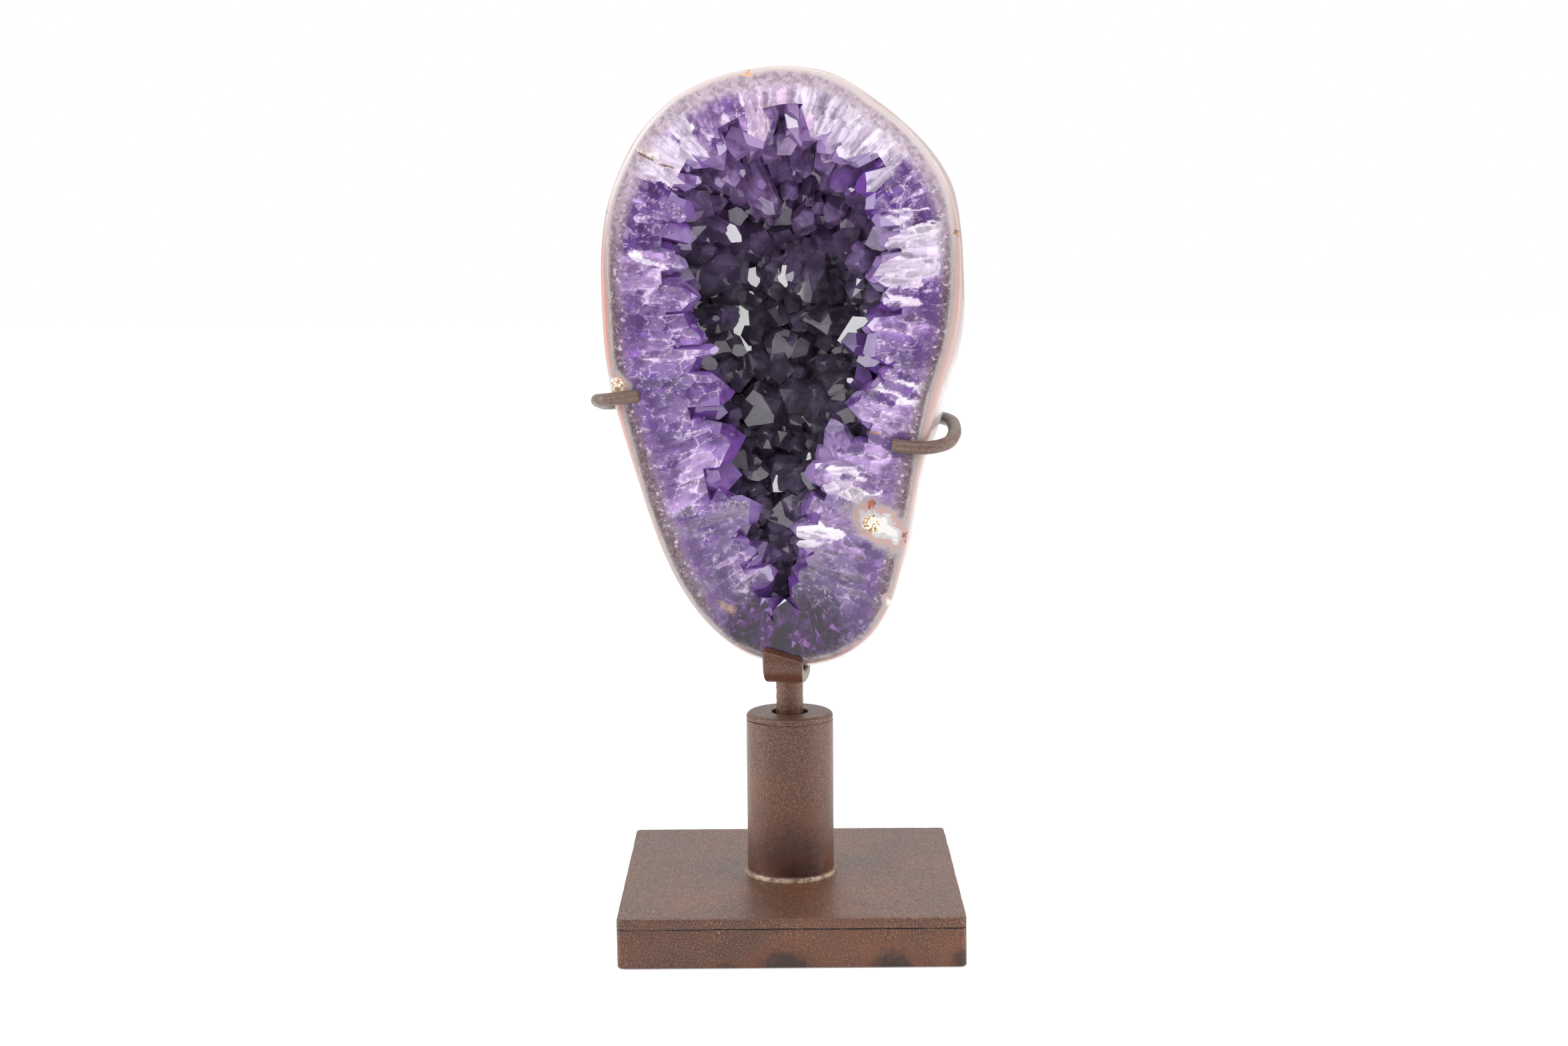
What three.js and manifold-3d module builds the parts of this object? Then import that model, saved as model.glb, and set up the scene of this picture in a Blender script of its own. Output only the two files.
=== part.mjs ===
// An amethyst geode on a swivel stand.
//
// The geode is a tall egg of agate, cut flat on the front so that its hollow of amethyst crystals
// shows. It sits in a cradle of bent flat bar, held by two rods that hook over the cut face. The
// cradle turns on a spindle in a post of pipe, welded to a square base.
//
// Millimetres. +Z is up, -Y is the front and +X is on the right. The origin is on the spindle's
// axis, on the underside of the base.

import * as THREE from "three";
import { mergeVertices } from "three/addons/utils/BufferGeometryUtils.js";
import Module from "manifold-3d";

const wasm = await Module();
wasm.setup();

// Driving dimensions of the stand
const GAP = 0.3;
const BASE_SIDE = 160;
const BLOCK_HEIGHT = 18.1;
const PLATE_THICKNESS = 4.7;
const BASE_CORNER_RADIUS = 3;
const BASE_EDGE = 0.8;
const PIPE_RADIUS = 21.1;
const PIPE_BORE_RADIUS = 17.5;
const PIPE_SIDES = 32;
const POST_TOP = 102.6;
const CAP_THICKNESS = 3.2;
const CAP_EDGE = 2.2;
const CAP_HOLE_RADIUS = 8.6;
const WELD_WIDTH = 1.3;
const WELD_HEIGHT = 2.6;
const SPINDLE_RADIUS = 6.6;
const SPINDLE_SIDES = 24;
const SPINDLE_WELD = 0.7;
const SPINDLE_WELD_HEIGHT = 1.6;
const PLATE_TOP = BLOCK_HEIGHT + GAP + PLATE_THICKNESS;

// The head stands turned to its left by this angle, and the stone is cut at this depth
const HEAD_TURN = THREE.MathUtils.degToRad(-6);
const FACE_DEPTH = -26;

// Driving dimensions of the stone, in the head's own frame: s to the right, d to the back, h up
const FACE_EDGE_INSET = 1.6;
const WALL = 17;
const CORE_LOW = 190;
const CORE_HIGH = 330;
const DEPTH_LOW = 66;
const DEPTH_HIGH = 88;
const ROUNDNESS = 2.6;
const HOLLOW_DEPTH_LOW = 32;
const HOLLOW_DEPTH_HIGH = 48;
const LUMP = 2.6;
const EYE = { s: 46, h: 197, spread: 13, thicker: 10 };
const EYE_POCKET = { s: 43, h: 198, radius: 4.6, depth: 2.4 };

// How finely the stone is divided: points round each ring, and the rings' turns to the back
const OUTSIDE_SIDES = 52;
const OUTSIDE_TURNS = [0, 8, 18, 31, 45, 58, 69, 79, 87];
const ROOM_SIDES = 36;
const ROOM_TURNS = [0, 22, 45, 65, 82];
const HOLLOW_TURNS = [0, 24, 48, 70, 86];

// Driving dimensions of the cradle and its hooks
const STRAP_WIDTH = 19;
const STRAP_THICKNESS = 6;
const SEAT_TOP = 125.3;
const LIP_INNER = FACE_DEPTH - 0.5;
const LIP_TOP = 139.4;
const LIP_CORNER = 130.6;
const SPINE_CLEARANCE = 2;
const SPINE_STRAIGHT = 205;
const SPINE_TOP = 262;
const ROD_RADIUS = 3.2;
const ROD_SIDES = 8;
const ROD_STEPS = 30;
const ARM_HEIGHT = 246;
const ARM_CLEARANCE = 2.2;

// The edge of the cut face as [s, h], clockwise from the top
const FACE_OUTLINE = [
  [6, 408.5], [25, 404.5], [43, 393.5], [57, 382], [69, 368.5], [78, 353], [82.5, 333], [83.5, 313],
  [82.5, 295], [79, 277], [73.5, 260], [69, 243], [64.5, 224], [61, 206], [58, 190], [55, 176],
  [50, 159.5], [41, 145.5], [27, 135.5], [9.5, 131.5], [-8, 133.5], [-23, 139.5], [-37, 151],
  [-48, 166], [-56, 182], [-62, 198], [-68, 217], [-74.5, 239], [-79.5, 258.5], [-82.5, 275],
  [-84, 299], [-83.8, 325], [-80.5, 346], [-73, 365], [-62, 382.5], [-49, 394.5], [-32, 403],
  [-13, 407.5],
];

// The edge of the hollow on the cut face as [s, h], where the free crystals start
const HOLLOW_OUTLINE = [
  [1, 388], [12, 388], [26, 382], [37, 372], [46, 361], [51, 342], [53, 317], [53, 297], [50, 274],
  [46, 257], [38, 241], [35, 227], [21, 217], [15, 203], [12, 186], [11, 168], [9, 154], [1, 150],
  [-9, 160], [-16, 176], [-25, 193], [-32, 211], [-35, 227], [-39, 243], [-43, 258], [-47, 277],
  [-51, 296], [-53, 319], [-51, 341], [-44, 359], [-34, 373], [-19, 382], [-8, 386],
];

// Crystals cut by the front face: tip s and h, root s and h, and radius
const FACE_CRYSTALS = [
  [-2, 393, 1, 404, 7.5], [-5, 374, -17, 396, 9.5], [-29, 367, -36, 385, 7.5],
  [-33, 362, -52, 375, 6], [-36, 356, -57, 359, 4.5], [9, 387, 28, 396, 9], [16, 369, 36, 383, 7],
  [22, 365, 44, 375, 7], [33, 352, 58, 357, 9], [40, 342, 58, 347, 5.5], [41, 338, 62, 340, 5.5],
  [43, 328, 65, 332, 7], [41, 317, 62, 320, 7], [39, 311, 68, 314, 5], [44, 298, 61, 305, 6],
  [36, 288, 58, 289, 7.5], [41, 278, 61, 277, 8.5], [44, 269, 61, 267, 4], [40, 262, 58, 259, 6],
  [28, 254, 55, 250, 8.5], [21, 238, 40, 222, 8], [9, 220, 30, 222, 8], [2, 195, 24, 196, 7.5],
  [11, 186, 28, 182, 4.5], [2, 176, 26, 168, 10], [7, 153, 11, 141, 6.5], [-11, 162, -13, 148, 7],
  [-2, 174, -30, 168, 8], [-13, 184, -39, 178, 7], [-9, 205, -36, 199, 10], [-17, 238, -48, 227, 13],
  [-21, 259, -54, 259, 11], [-29, 279, -53, 276, 5], [-34, 284, -55, 285, 5.5],
  [-37, 302, -57, 303, 8], [-43, 317, -60, 321, 5.5], [-39, 330, -59, 336, 6],
  [-39, 340, -62, 347, 8],
];

// Large crystals inside the hollow: tip s, d and h, root s, d and h, and radius
const HOLLOW_CRYSTALS = [
  [-4, -8, 340, -17, 8, 363, 7.5], [12, -2, 293, 9, 22, 328, 10.5], [-20, -6, 318, -49, 8, 307, 10],
  [28, -12, 318, 50, 0, 321, 8.5], [30, -6, 300, 43, 8, 316, 8.5], [-21, -8, 294, -46, 4, 289, 7],
  [26, -14, 282, 47, -6, 279, 7.5], [34, -14, 271, 44, -6, 254, 6.5], [6, 4, 245, 26, 16, 237, 7],
  [11, 8, 261, 9, 24, 238, 7], [-10, 6, 240, -16, 22, 222, 9], [-8, -4, 218, -30, 6, 221, 7],
  [-2, -6, 207, 9, 6, 196, 7.5], [-1, -12, 181, -18, -4, 176, 5], [-22, -14, 353, -31, -4, 371, 7],
  [-3, -12, 368, 8, -2, 388, 7.5], [8, 2, 357, 6, 12, 378, 6], [21, -16, 353, 39, -8, 361, 7],
  [-5, 6, 312, -11, 24, 325, 6.5], [-20, -4, 328, -46, 8, 340, 7.5], [0, 6, 294, 6, 24, 308, 6],
  [13, 0, 272, 32, 12, 268, 6], [-18, -2, 276, -42, 8, 285, 6.5], [-21, -8, 251, -40, 2, 235, 7],
  [-14, 8, 265, -30, 22, 271, 7.5],
];

// The rows of smaller crystals on the hollow's wall, as turns towards the back, and their sizes
const SMALL_ROWS = [17, 40, 62, 80];
const SMALL_SPACING = 30;
const SMALL_RADIUS = [7, 11];
const SMALL_REACH = [8, 16];
const SMALL_ROOT = 5;
const SMALL_LEAN = 0.7;
const SEED = 4711;

// The hooks' middle lines on and beside the face as [s, d, h], from the tip
const LEFT_HOOK = [
  [-66.4, -29.6, 257.6], [-76, -29.6, 256.5], [-83.4, -28, 255.5], [-87.7, -20, 254.7],
  [-89.4, -5, 252.8], [-88.6, 8, 251],
];
const RIGHT_HOOK = [
  [51.5, -29.6, 235], [62.3, -29.6, 233.8], [70.6, -29.2, 234], [76.8, -25, 235.5],
  [79.4, -14, 238], [79.2, 0, 240.4], [77.2, 12, 242.2],
];

// Materials
const BRONZE_PAINT = { color: 0x7d6558, roughness: 0.55, metalness: 0.6 };
const AGATE = { color: 0xcdbfb6, roughness: 0.35, metalness: 0 };
const AMETHYST = { color: 0x6a4a96, roughness: 0.12, metalness: 0 };

const degrees = THREE.MathUtils.degToRad;
const paint = new THREE.MeshStandardMaterial(BRONZE_PAINT);

function named(name, geometry, material) {
  const mesh = new THREE.Mesh(geometry, material);
  mesh.name = name;
  return mesh;
}

// A repeatable run of numbers between 0 and 1
function randomRun(seed) {
  let state = seed;
  return () => {
    state = (state * 16807) % 2147483647;
    return state / 2147483647;
  };
}

// A closed geometry as a solid that can be joined and cut, and back again
function toSolid(geometry) {
  const bare = new THREE.BufferGeometry();
  bare.setAttribute("position", geometry.getAttribute("position").clone());
  if (geometry.index) bare.setIndex(geometry.index.clone());
  const merged = mergeVertices(bare, 1e-3);
  return new wasm.Manifold(
    new wasm.Mesh({
      numProp: 3,
      vertProperties: new Float32Array(merged.attributes.position.array),
      triVerts: new Uint32Array(merged.index.array),
    }),
  );
}

function fromSolid(solid) {
  const mesh = solid.getMesh();
  const geometry = new THREE.BufferGeometry();
  const position = new THREE.BufferAttribute(new Float32Array(mesh.vertProperties), mesh.numProp);
  geometry.setAttribute("position", position);
  geometry.setIndex(new THREE.BufferAttribute(new Uint32Array(mesh.triVerts), 1));
  return geometry;
}

// The largest body of a solid, with any closed bubble inside it filled
function mainBody(solid) {
  const bodies = solid.decompose();
  return bodies.reduce((best, body) => (body.volume() > best.volume() ? body : best));
}

function joinAll(solids) {
  return solids.reduce((sum, solid) => sum.add(solid));
}

// The stand

function roundedSquare(side, radius) {
  const h = side / 2;
  const r = radius;
  const shape = new THREE.Shape();
  shape.moveTo(-h + r, -h);
  shape.lineTo(h - r, -h);
  shape.absarc(h - r, -h + r, r, -Math.PI / 2, 0);
  shape.lineTo(h, h - r);
  shape.absarc(h - r, h - r, r, 0, Math.PI / 2);
  shape.lineTo(-h + r, h);
  shape.absarc(-h + r, h - r, r, Math.PI / 2, Math.PI);
  shape.lineTo(-h, -h + r);
  shape.absarc(-h + r, -h + r, r, Math.PI, 1.5 * Math.PI);
  return shape;
}

function slab(height) {
  const shape = roundedSquare(BASE_SIDE - 2 * BASE_EDGE, BASE_CORNER_RADIUS - BASE_EDGE);
  const geometry = new THREE.ExtrudeGeometry(shape, {
    depth: height - 2 * BASE_EDGE,
    bevelThickness: BASE_EDGE,
    bevelSize: BASE_EDGE,
    bevelSegments: 1,
    curveSegments: 3,
  });
  return geometry.translate(0, 0, BASE_EDGE);
}

// A body of revolution round Z from a closed profile of [radius, height]
function turned(profile, segments) {
  const points = profile.map(([r, z]) => new THREE.Vector2(r, z));
  return new THREE.LatheGeometry(points, segments).rotateX(Math.PI / 2);
}

function postTube() {
  const foot = PLATE_TOP + GAP;
  const top = POST_TOP - CAP_THICKNESS - GAP;
  return turned(
    [
      [PIPE_BORE_RADIUS, foot],
      [PIPE_RADIUS + WELD_WIDTH, foot],
      [PIPE_RADIUS + 0.9 * WELD_WIDTH, foot + 0.45 * WELD_HEIGHT],
      [PIPE_RADIUS, foot + WELD_HEIGHT],
      [PIPE_RADIUS, top],
      [PIPE_BORE_RADIUS, top],
      [PIPE_BORE_RADIUS, foot],
    ],
    PIPE_SIDES,
  );
}

function postCap() {
  const low = POST_TOP - CAP_THICKNESS;
  return turned(
    [
      [CAP_HOLE_RADIUS, low],
      [PIPE_RADIUS, low],
      [PIPE_RADIUS, POST_TOP - CAP_EDGE],
      [PIPE_RADIUS - 0.3 * CAP_EDGE, POST_TOP - 0.3 * CAP_EDGE],
      [PIPE_RADIUS - CAP_EDGE, POST_TOP],
      [CAP_HOLE_RADIUS, POST_TOP],
      [CAP_HOLE_RADIUS, low],
    ],
    PIPE_SIDES,
  );
}

// The stone's form

// The face outline and the hollow's outline as smooth closed curves
function outlinePoints(points, count) {
  const curve = new THREE.CatmullRomCurve3(
    points.map(([s, h]) => new THREE.Vector3(s, 0, h)),
    true,
    "centripetal",
  );
  return curve.getPoints(count).slice(0, count);
}

// The nearest point of the stone's upright middle line
function coreOf(point) {
  const h = THREE.MathUtils.clamp(point.z, CORE_LOW, CORE_HIGH);
  return new THREE.Vector3(0, 0, h);
}

function mixByHeight(low, high, h) {
  return THREE.MathUtils.mapLinear(h, CORE_LOW, CORE_HIGH, low, high);
}

// How far the stone's flank swells beyond the cut face: most on the right and at the bottom
function flankSwell(side, up, h) {
  const waist = Math.exp(-(((h - 255) / 32) ** 2));
  const right = Math.max(0, side) * (2.2 + 3.6 * waist);
  const left = Math.max(0, -side) * 5;
  const bottom = 7.3 * Math.max(0, -up) ** 3;
  return right + left + bottom;
}

// Low lumps on the flanks and the back, none behind the middle where the strap runs
function lumps(x, h) {
  const wave =
    Math.sin(x * 0.071 + 1.3) * Math.sin(h * 0.052 + 0.4) +
    0.6 * Math.sin(x * 0.13 + h * 0.09 + 2.1);
  const beside = THREE.MathUtils.smoothstep(Math.abs(x), 10, 50);
  const above = THREE.MathUtils.smoothstep(h, SPINE_TOP, SPINE_TOP + 50);
  return LUMP * wave * Math.max(beside, above);
}

// The shell's wall, thicker near the cut face where its agate bulges in at the eye
function wallAt(point, turn) {
  const away = Math.hypot(point.x - EYE.s, point.z - EYE.h) / EYE.spread;
  return WALL + EYE.thicker * Math.exp(-(away ** 2)) * Math.max(0, Math.cos(2 * turn));
}

// One point of the stone's outside: from the face (turn 0) round to the back (turn 90 degrees)
function stonePoint(facePoint, turn, inset = 0) {
  const core = coreOf(facePoint);
  const out = facePoint.clone().sub(core);
  const reach = out.length();
  out.divideScalar(reach);
  const along = Math.cos(turn) ** (2 / ROUNDNESS);
  const back = Math.sin(turn) ** (2 / ROUNDNESS);
  const swell = flankSwell(out.x, out.z, facePoint.z) * 4 * back * (1 - back);
  const depth = mixByHeight(DEPTH_LOW, DEPTH_HIGH, core.z) - inset;
  const point = core.clone().addScaledVector(out, (reach - inset) * along + swell);
  const lump = lumps(point.x, point.z);
  point.addScaledVector(out, lump * Math.sin(2 * turn));
  point.y = FACE_DEPTH + depth * back + lump * Math.max(0, -Math.cos(2 * turn));
  return point;
}

// One point of the crystals' hollow, from its edge on the face round to the back
function hollowPoint(edgePoint, turn) {
  const core = coreOf(edgePoint);
  const depth = mixByHeight(HOLLOW_DEPTH_LOW, HOLLOW_DEPTH_HIGH, core.z);
  const point = core.lerp(edgePoint, Math.cos(turn) ** 0.85);
  point.y = FACE_DEPTH + depth * Math.sin(turn) ** 0.9;
  return point;
}

// The triangles that fill a ring, running the same way round as the ring does
function lid(ring) {
  const flat = ring.map((p) => new THREE.Vector2(p.x, p.z));
  const clockwise = THREE.ShapeUtils.isClockWise(flat);
  return THREE.ShapeUtils.triangulateShape(flat, []).map(([a, b, c]) => {
    const same = THREE.ShapeUtils.isClockWise([flat[a], flat[b], flat[c]]) === clockwise;
    return same ? [a, b, c] : [a, c, b];
  });
}

// A closed skin over rings of points, with the first and the last ring filled
function skin(rings) {
  const count = rings[0].length;
  const index = [];
  for (let ring = 0; ring + 1 < rings.length; ring++) {
    for (let i = 0; i < count; i++) {
      const a = ring * count + i;
      const b = ring * count + ((i + 1) % count);
      index.push(a, b, a + count, b, b + count, a + count);
    }
  }
  for (const [a, b, c] of lid(rings[0])) index.push(a, c, b);
  const last = rings.length - 1;
  for (const corners of lid(rings[last])) index.push(...corners.map((c) => last * count + c));
  const geometry = new THREE.BufferGeometry().setFromPoints(rings.flat());
  geometry.setIndex(index);
  return geometry;
}

// A solid whose faces point out, whichever way its rings ran
function closedSolid(geometry) {
  const solid = toSolid(geometry);
  if (solid.volume() > 0) return solid;
  geometry.index.array.reverse();
  return toSolid(geometry);
}

// The stone's outside as a solid, with the edge of its face ground round
function outsideSolid() {
  const face = outlinePoints(FACE_OUTLINE, OUTSIDE_SIDES);
  const rings = OUTSIDE_TURNS.map((turn) => face.map((p) => stonePoint(p, degrees(turn))));
  const mouth = face.map((p) => stonePoint(p, 0, FACE_EDGE_INSET));
  rings[0].forEach((p) => (p.y += FACE_EDGE_INSET));
  return closedSolid(skin([mouth, ...rings]));
}

// The room inside the shell's wall, less a gap, from forward of the cut face to the back
function roomSolid(gap, forward) {
  const face = outlinePoints(FACE_OUTLINE, ROOM_SIDES);
  const ring = (turn) => face.map((p) => stonePoint(p, degrees(turn), wallAt(p, degrees(turn)) + gap));
  const mouth = ring(0).map((p) => p.setY(FACE_DEPTH - forward));
  return closedSolid(skin([mouth, ...ROOM_TURNS.map(ring)]));
}

function hollowSolid(forward) {
  const edge = outlinePoints(HOLLOW_OUTLINE, ROOM_SIDES);
  const rings = HOLLOW_TURNS.map((turn) => edge.map((p) => hollowPoint(p, degrees(turn))));
  const mouth = rings[0].map((p) => p.clone().setY(FACE_DEPTH - forward));
  return closedSolid(skin([mouth, ...rings]));
}

// Crystals

// A six sided crystal from its root to its tip, with a six sided point set a little askew
function crystal(root, tip, radius, random) {
  const axis = tip.clone().sub(root);
  const length = axis.length();
  const point = Math.min(length * 0.8, radius * (1.15 + 0.5 * random()));
  const profile = [
    [0, 0],
    [radius * 0.85, 0],
    [radius, length - point],
    [0, length],
  ];
  const geometry = turned(profile, 6);
  geometry.rotateZ(random() * Math.PI);
  const squash = 0.78 + 0.3 * random();
  geometry.scale(squash, 1, 1);
  const position = geometry.getAttribute("position");
  const lean = new THREE.Vector2(random() - 0.5, random() - 0.5).multiplyScalar(0.35 * radius);
  for (let i = 0; i < position.count; i++) {
    if (position.getZ(i) < length - 0.01) continue;
    position.setXY(i, lean.x, lean.y);
  }
  const turn = new THREE.Quaternion().setFromUnitVectors(
    new THREE.Vector3(0, 0, 1),
    axis.normalize(),
  );
  geometry.applyQuaternion(turn);
  return geometry.translate(root.x, root.y, root.z);
}

function faceCrystals(random) {
  return FACE_CRYSTALS.map(([tipS, tipH, rootS, rootH, radius]) => {
    const below = 0.25 + 0.3 * random();
    const tip = new THREE.Vector3(tipS, FACE_DEPTH + radius * (below + 0.35), tipH);
    const root = new THREE.Vector3(rootS, FACE_DEPTH + radius * below, rootH);
    return crystal(root, tip, radius, random);
  });
}

function hollowCrystals(random) {
  return HOLLOW_CRYSTALS.map(([tipS, tipD, tipH, rootS, rootD, rootH, radius]) => {
    const tip = new THREE.Vector3(tipS, tipD, tipH);
    const root = new THREE.Vector3(rootS, rootD, rootH);
    return crystal(root, tip, radius, random);
  });
}

// Smaller crystals in staggered rows over the hollow's wall, each pointing into the hollow
function smallCrystals(random) {
  const between = ([low, high]) => THREE.MathUtils.lerp(low, high, random());
  const made = [];
  SMALL_ROWS.forEach((turn, row) => {
    const wall = outlinePoints(HOLLOW_OUTLINE, 200).map((p) => hollowPoint(p, degrees(turn)));
    const line = new THREE.CatmullRomCurve3(wall, true);
    const count = Math.round(line.getLength() / SMALL_SPACING);
    for (let i = 0; i < count; i++) {
      const foot = line.getPointAt(((i + 0.5 * (row % 2) + 0.5 * random()) / count) % 1);
      const heart = coreOf(foot).setY(FACE_DEPTH + 3);
      heart.z += 30 * (random() - 0.5);
      const inward = heart.sub(foot);
      const room = inward.length();
      inward.divideScalar(room);
      inward.add(new THREE.Vector3(random() - 0.5, 0, random() - 0.5).multiplyScalar(SMALL_LEAN));
      inward.normalize();
      const radius = Math.min(between(SMALL_RADIUS), 0.32 * room + 1);
      const reach = Math.min(between(SMALL_REACH), 0.45 * room + 1);
      const tip = foot.clone().addScaledVector(inward, reach);
      const root = foot.clone().addScaledVector(inward, -SMALL_ROOT);
      made.push(crystal(root, tip, radius, random));
    }
  });
  return made;
}

// The gritty pocket in the middle of the agate eye
function eyePocket() {
  const pocket = new THREE.IcosahedronGeometry(EYE_POCKET.radius, 1);
  pocket.scale(1, EYE_POCKET.depth / EYE_POCKET.radius, 0.8);
  pocket.rotateY(degrees(30)).translate(EYE_POCKET.s, FACE_DEPTH, EYE_POCKET.h);
  return closedSolid(pocket);
}

// The shell: the stone's outside less the room for the crust
function geodeShell() {
  return fromSolid(outsideSolid().subtract(roomSolid(0, 5)).subtract(eyePocket()));
}

// The crust: a bed of quartz in that room, with the crystals that grow from it, cut by the face
function crystalCrust() {
  const random = randomRun(SEED);
  const bed = roomSolid(GAP, 0);
  const crystals = [...faceCrystals(random), ...hollowCrystals(random), ...smallCrystals(random)];
  const grown = joinAll(crystals.map(closedSolid)).intersect(bed);
  return fromSolid(mainBody(bed.subtract(hollowSolid(5)).add(grown)));
}

// The cradle and the hooks

// The line that the strap's inner side follows up the back of the stone, as [d, h]
function spineLine() {
  const bottom = new THREE.Vector3(0, 0, FACE_OUTLINE[19][1] + 0.5);
  const line = [];
  for (const turn of [36, 46, 56, 66, 76, 86]) {
    const p = stonePoint(bottom, degrees(turn));
    line.push([p.y + SPINE_CLEARANCE * Math.sin(degrees(turn)), p.z - SPINE_CLEARANCE]);
  }
  const rise = (h) => FACE_DEPTH + mixByHeight(DEPTH_LOW, DEPTH_HIGH, h) + SPINE_CLEARANCE;
  line.push([rise(SPINE_STRAIGHT), SPINE_STRAIGHT], [rise(SPINE_TOP), SPINE_TOP]);
  return line;
}

// The strap's inner side from the lip's top, under the stone and up its back, as [d, h]
function strapLine() {
  return [
    [LIP_INNER, LIP_TOP],
    [LIP_INNER, LIP_CORNER],
    [LIP_INNER + 1.4, LIP_CORNER - 2],
    [-14, SEAT_TOP + 0.4],
    [-9, SEAT_TOP],
    [4, SEAT_TOP],
    ...spineLine(),
  ];
}

// A line moved to its right by a distance, with its corners kept
function moved(line, distance) {
  return line.map(([d, h], i) => {
    const [d0, h0] = line[Math.max(0, i - 1)];
    const [d1, h1] = line[Math.min(line.length - 1, i + 1)];
    const before = new THREE.Vector2(d - d0, h - h0).normalize();
    const after = new THREE.Vector2(d1 - d, h1 - h).normalize();
    const along = before.add(after).normalize();
    return [d + along.y * distance, h - along.x * distance];
  });
}

function cradleStrap() {
  const inner = strapLine();
  const outer = moved(inner, STRAP_THICKNESS).reverse();
  const side = new THREE.Shape([...inner, ...outer].map(([d, h]) => new THREE.Vector2(d, h)));
  const strap = new THREE.ExtrudeGeometry(side, { depth: STRAP_WIDTH, bevelEnabled: false });
  strap.translate(0, 0, -STRAP_WIDTH / 2);
  strap.applyMatrix4(new THREE.Matrix4().makeBasis(
    new THREE.Vector3(0, 1, 0),
    new THREE.Vector3(0, 0, 1),
    new THREE.Vector3(1, 0, 0),
  ));
  // The lip's end is ground off at a slant, lower on the right and towards the front
  const wedge = new THREE.BoxGeometry(60, 30, 20).translate(0, 0, 10);
  wedge.rotateY(degrees(15)).rotateX(degrees(14)).translate(0, LIP_INNER - 3, LIP_TOP - 3.4);
  return fromSolid(mainBody(closedSolid(strap).subtract(closedSolid(wedge))));
}

// A hook's middle line, from its tip over the face, round the flank and to the strap's edge
function hookLine(hook, side) {
  const points = hook.map(([s, d, h]) => new THREE.Vector3(s, d, h));
  const last = points[points.length - 1];
  const faceHalf = side < 0 ? 77.5 : 70;
  const away = ROD_RADIUS + ARM_CLEARANCE;
  for (const turn of [34, 48, 62, 74, 82]) {
    const h = THREE.MathUtils.mapLinear(turn, 20, 88, last.z, ARM_HEIGHT);
    const p = stonePoint(new THREE.Vector3(side * faceHalf, 0, h), degrees(turn));
    const depthAway = away * Math.sin(degrees(turn));
    points.push(new THREE.Vector3(p.x + side * away * Math.cos(degrees(turn)), p.y + depthAway, h));
  }
  const end = points[points.length - 1].clone();
  end.x = side * (STRAP_WIDTH / 2 + GAP);
  points.push(end);
  return points;
}

function hookArm(hook, side) {
  const path = new THREE.CatmullRomCurve3(hookLine(hook, side), false, "centripetal");
  const circle = new THREE.Shape().absarc(0, 0, ROD_RADIUS, 0, 2 * Math.PI);
  const section = new THREE.Shape(circle.getSpacedPoints(ROD_SIDES).slice(0, ROD_SIDES));
  return new THREE.ExtrudeGeometry(section, { steps: ROD_STEPS, extrudePath: path });
}

function spindle() {
  const foot = PLATE_TOP + GAP;
  const top = SEAT_TOP - STRAP_THICKNESS - GAP;
  return turned(
    [
      [0, foot],
      [SPINDLE_RADIUS, foot],
      [SPINDLE_RADIUS, top - SPINDLE_WELD_HEIGHT],
      [SPINDLE_RADIUS + SPINDLE_WELD, top],
      [0, top],
    ],
    SPINDLE_SIDES,
  );
}

// The whole object
const geode = new THREE.Group();

geode.add(named("base_block", slab(BLOCK_HEIGHT), paint));
const plate = named("base_top_plate", slab(PLATE_THICKNESS), paint);
plate.position.z = BLOCK_HEIGHT + GAP;
geode.add(plate);
geode.add(named("post_tube", postTube(), paint));
geode.add(named("post_cap", postCap(), paint));

const head = new THREE.Group();
head.rotation.z = HEAD_TURN;
head.add(named("spindle", spindle(), paint));
head.add(named("cradle_strap", cradleStrap(), paint));
head.add(named("left_hook_arm", hookArm(LEFT_HOOK, -1), paint));
head.add(named("right_hook_arm", hookArm(RIGHT_HOOK, 1), paint));
head.add(named("geode_shell", geodeShell(), new THREE.MeshStandardMaterial(AGATE)));
head.add(named("crystal_crust", crystalCrust(), new THREE.MeshStandardMaterial(AMETHYST)));
geode.add(head);

export default geode;
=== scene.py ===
# An amethyst geode on a swivel stand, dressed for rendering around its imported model.
#
# Every piece is modelled in millimetres and brought into the model's frame in metres. The stone
# and its holder are modelled in the head's own frame, s to the right, d to the back and h up,
# which stands turned on the post.

import math
from collections import namedtuple
from itertools import combinations

import bmesh
import bpy
import numpy as np
from mathutils import Matrix, Vector, kdtree

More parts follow.
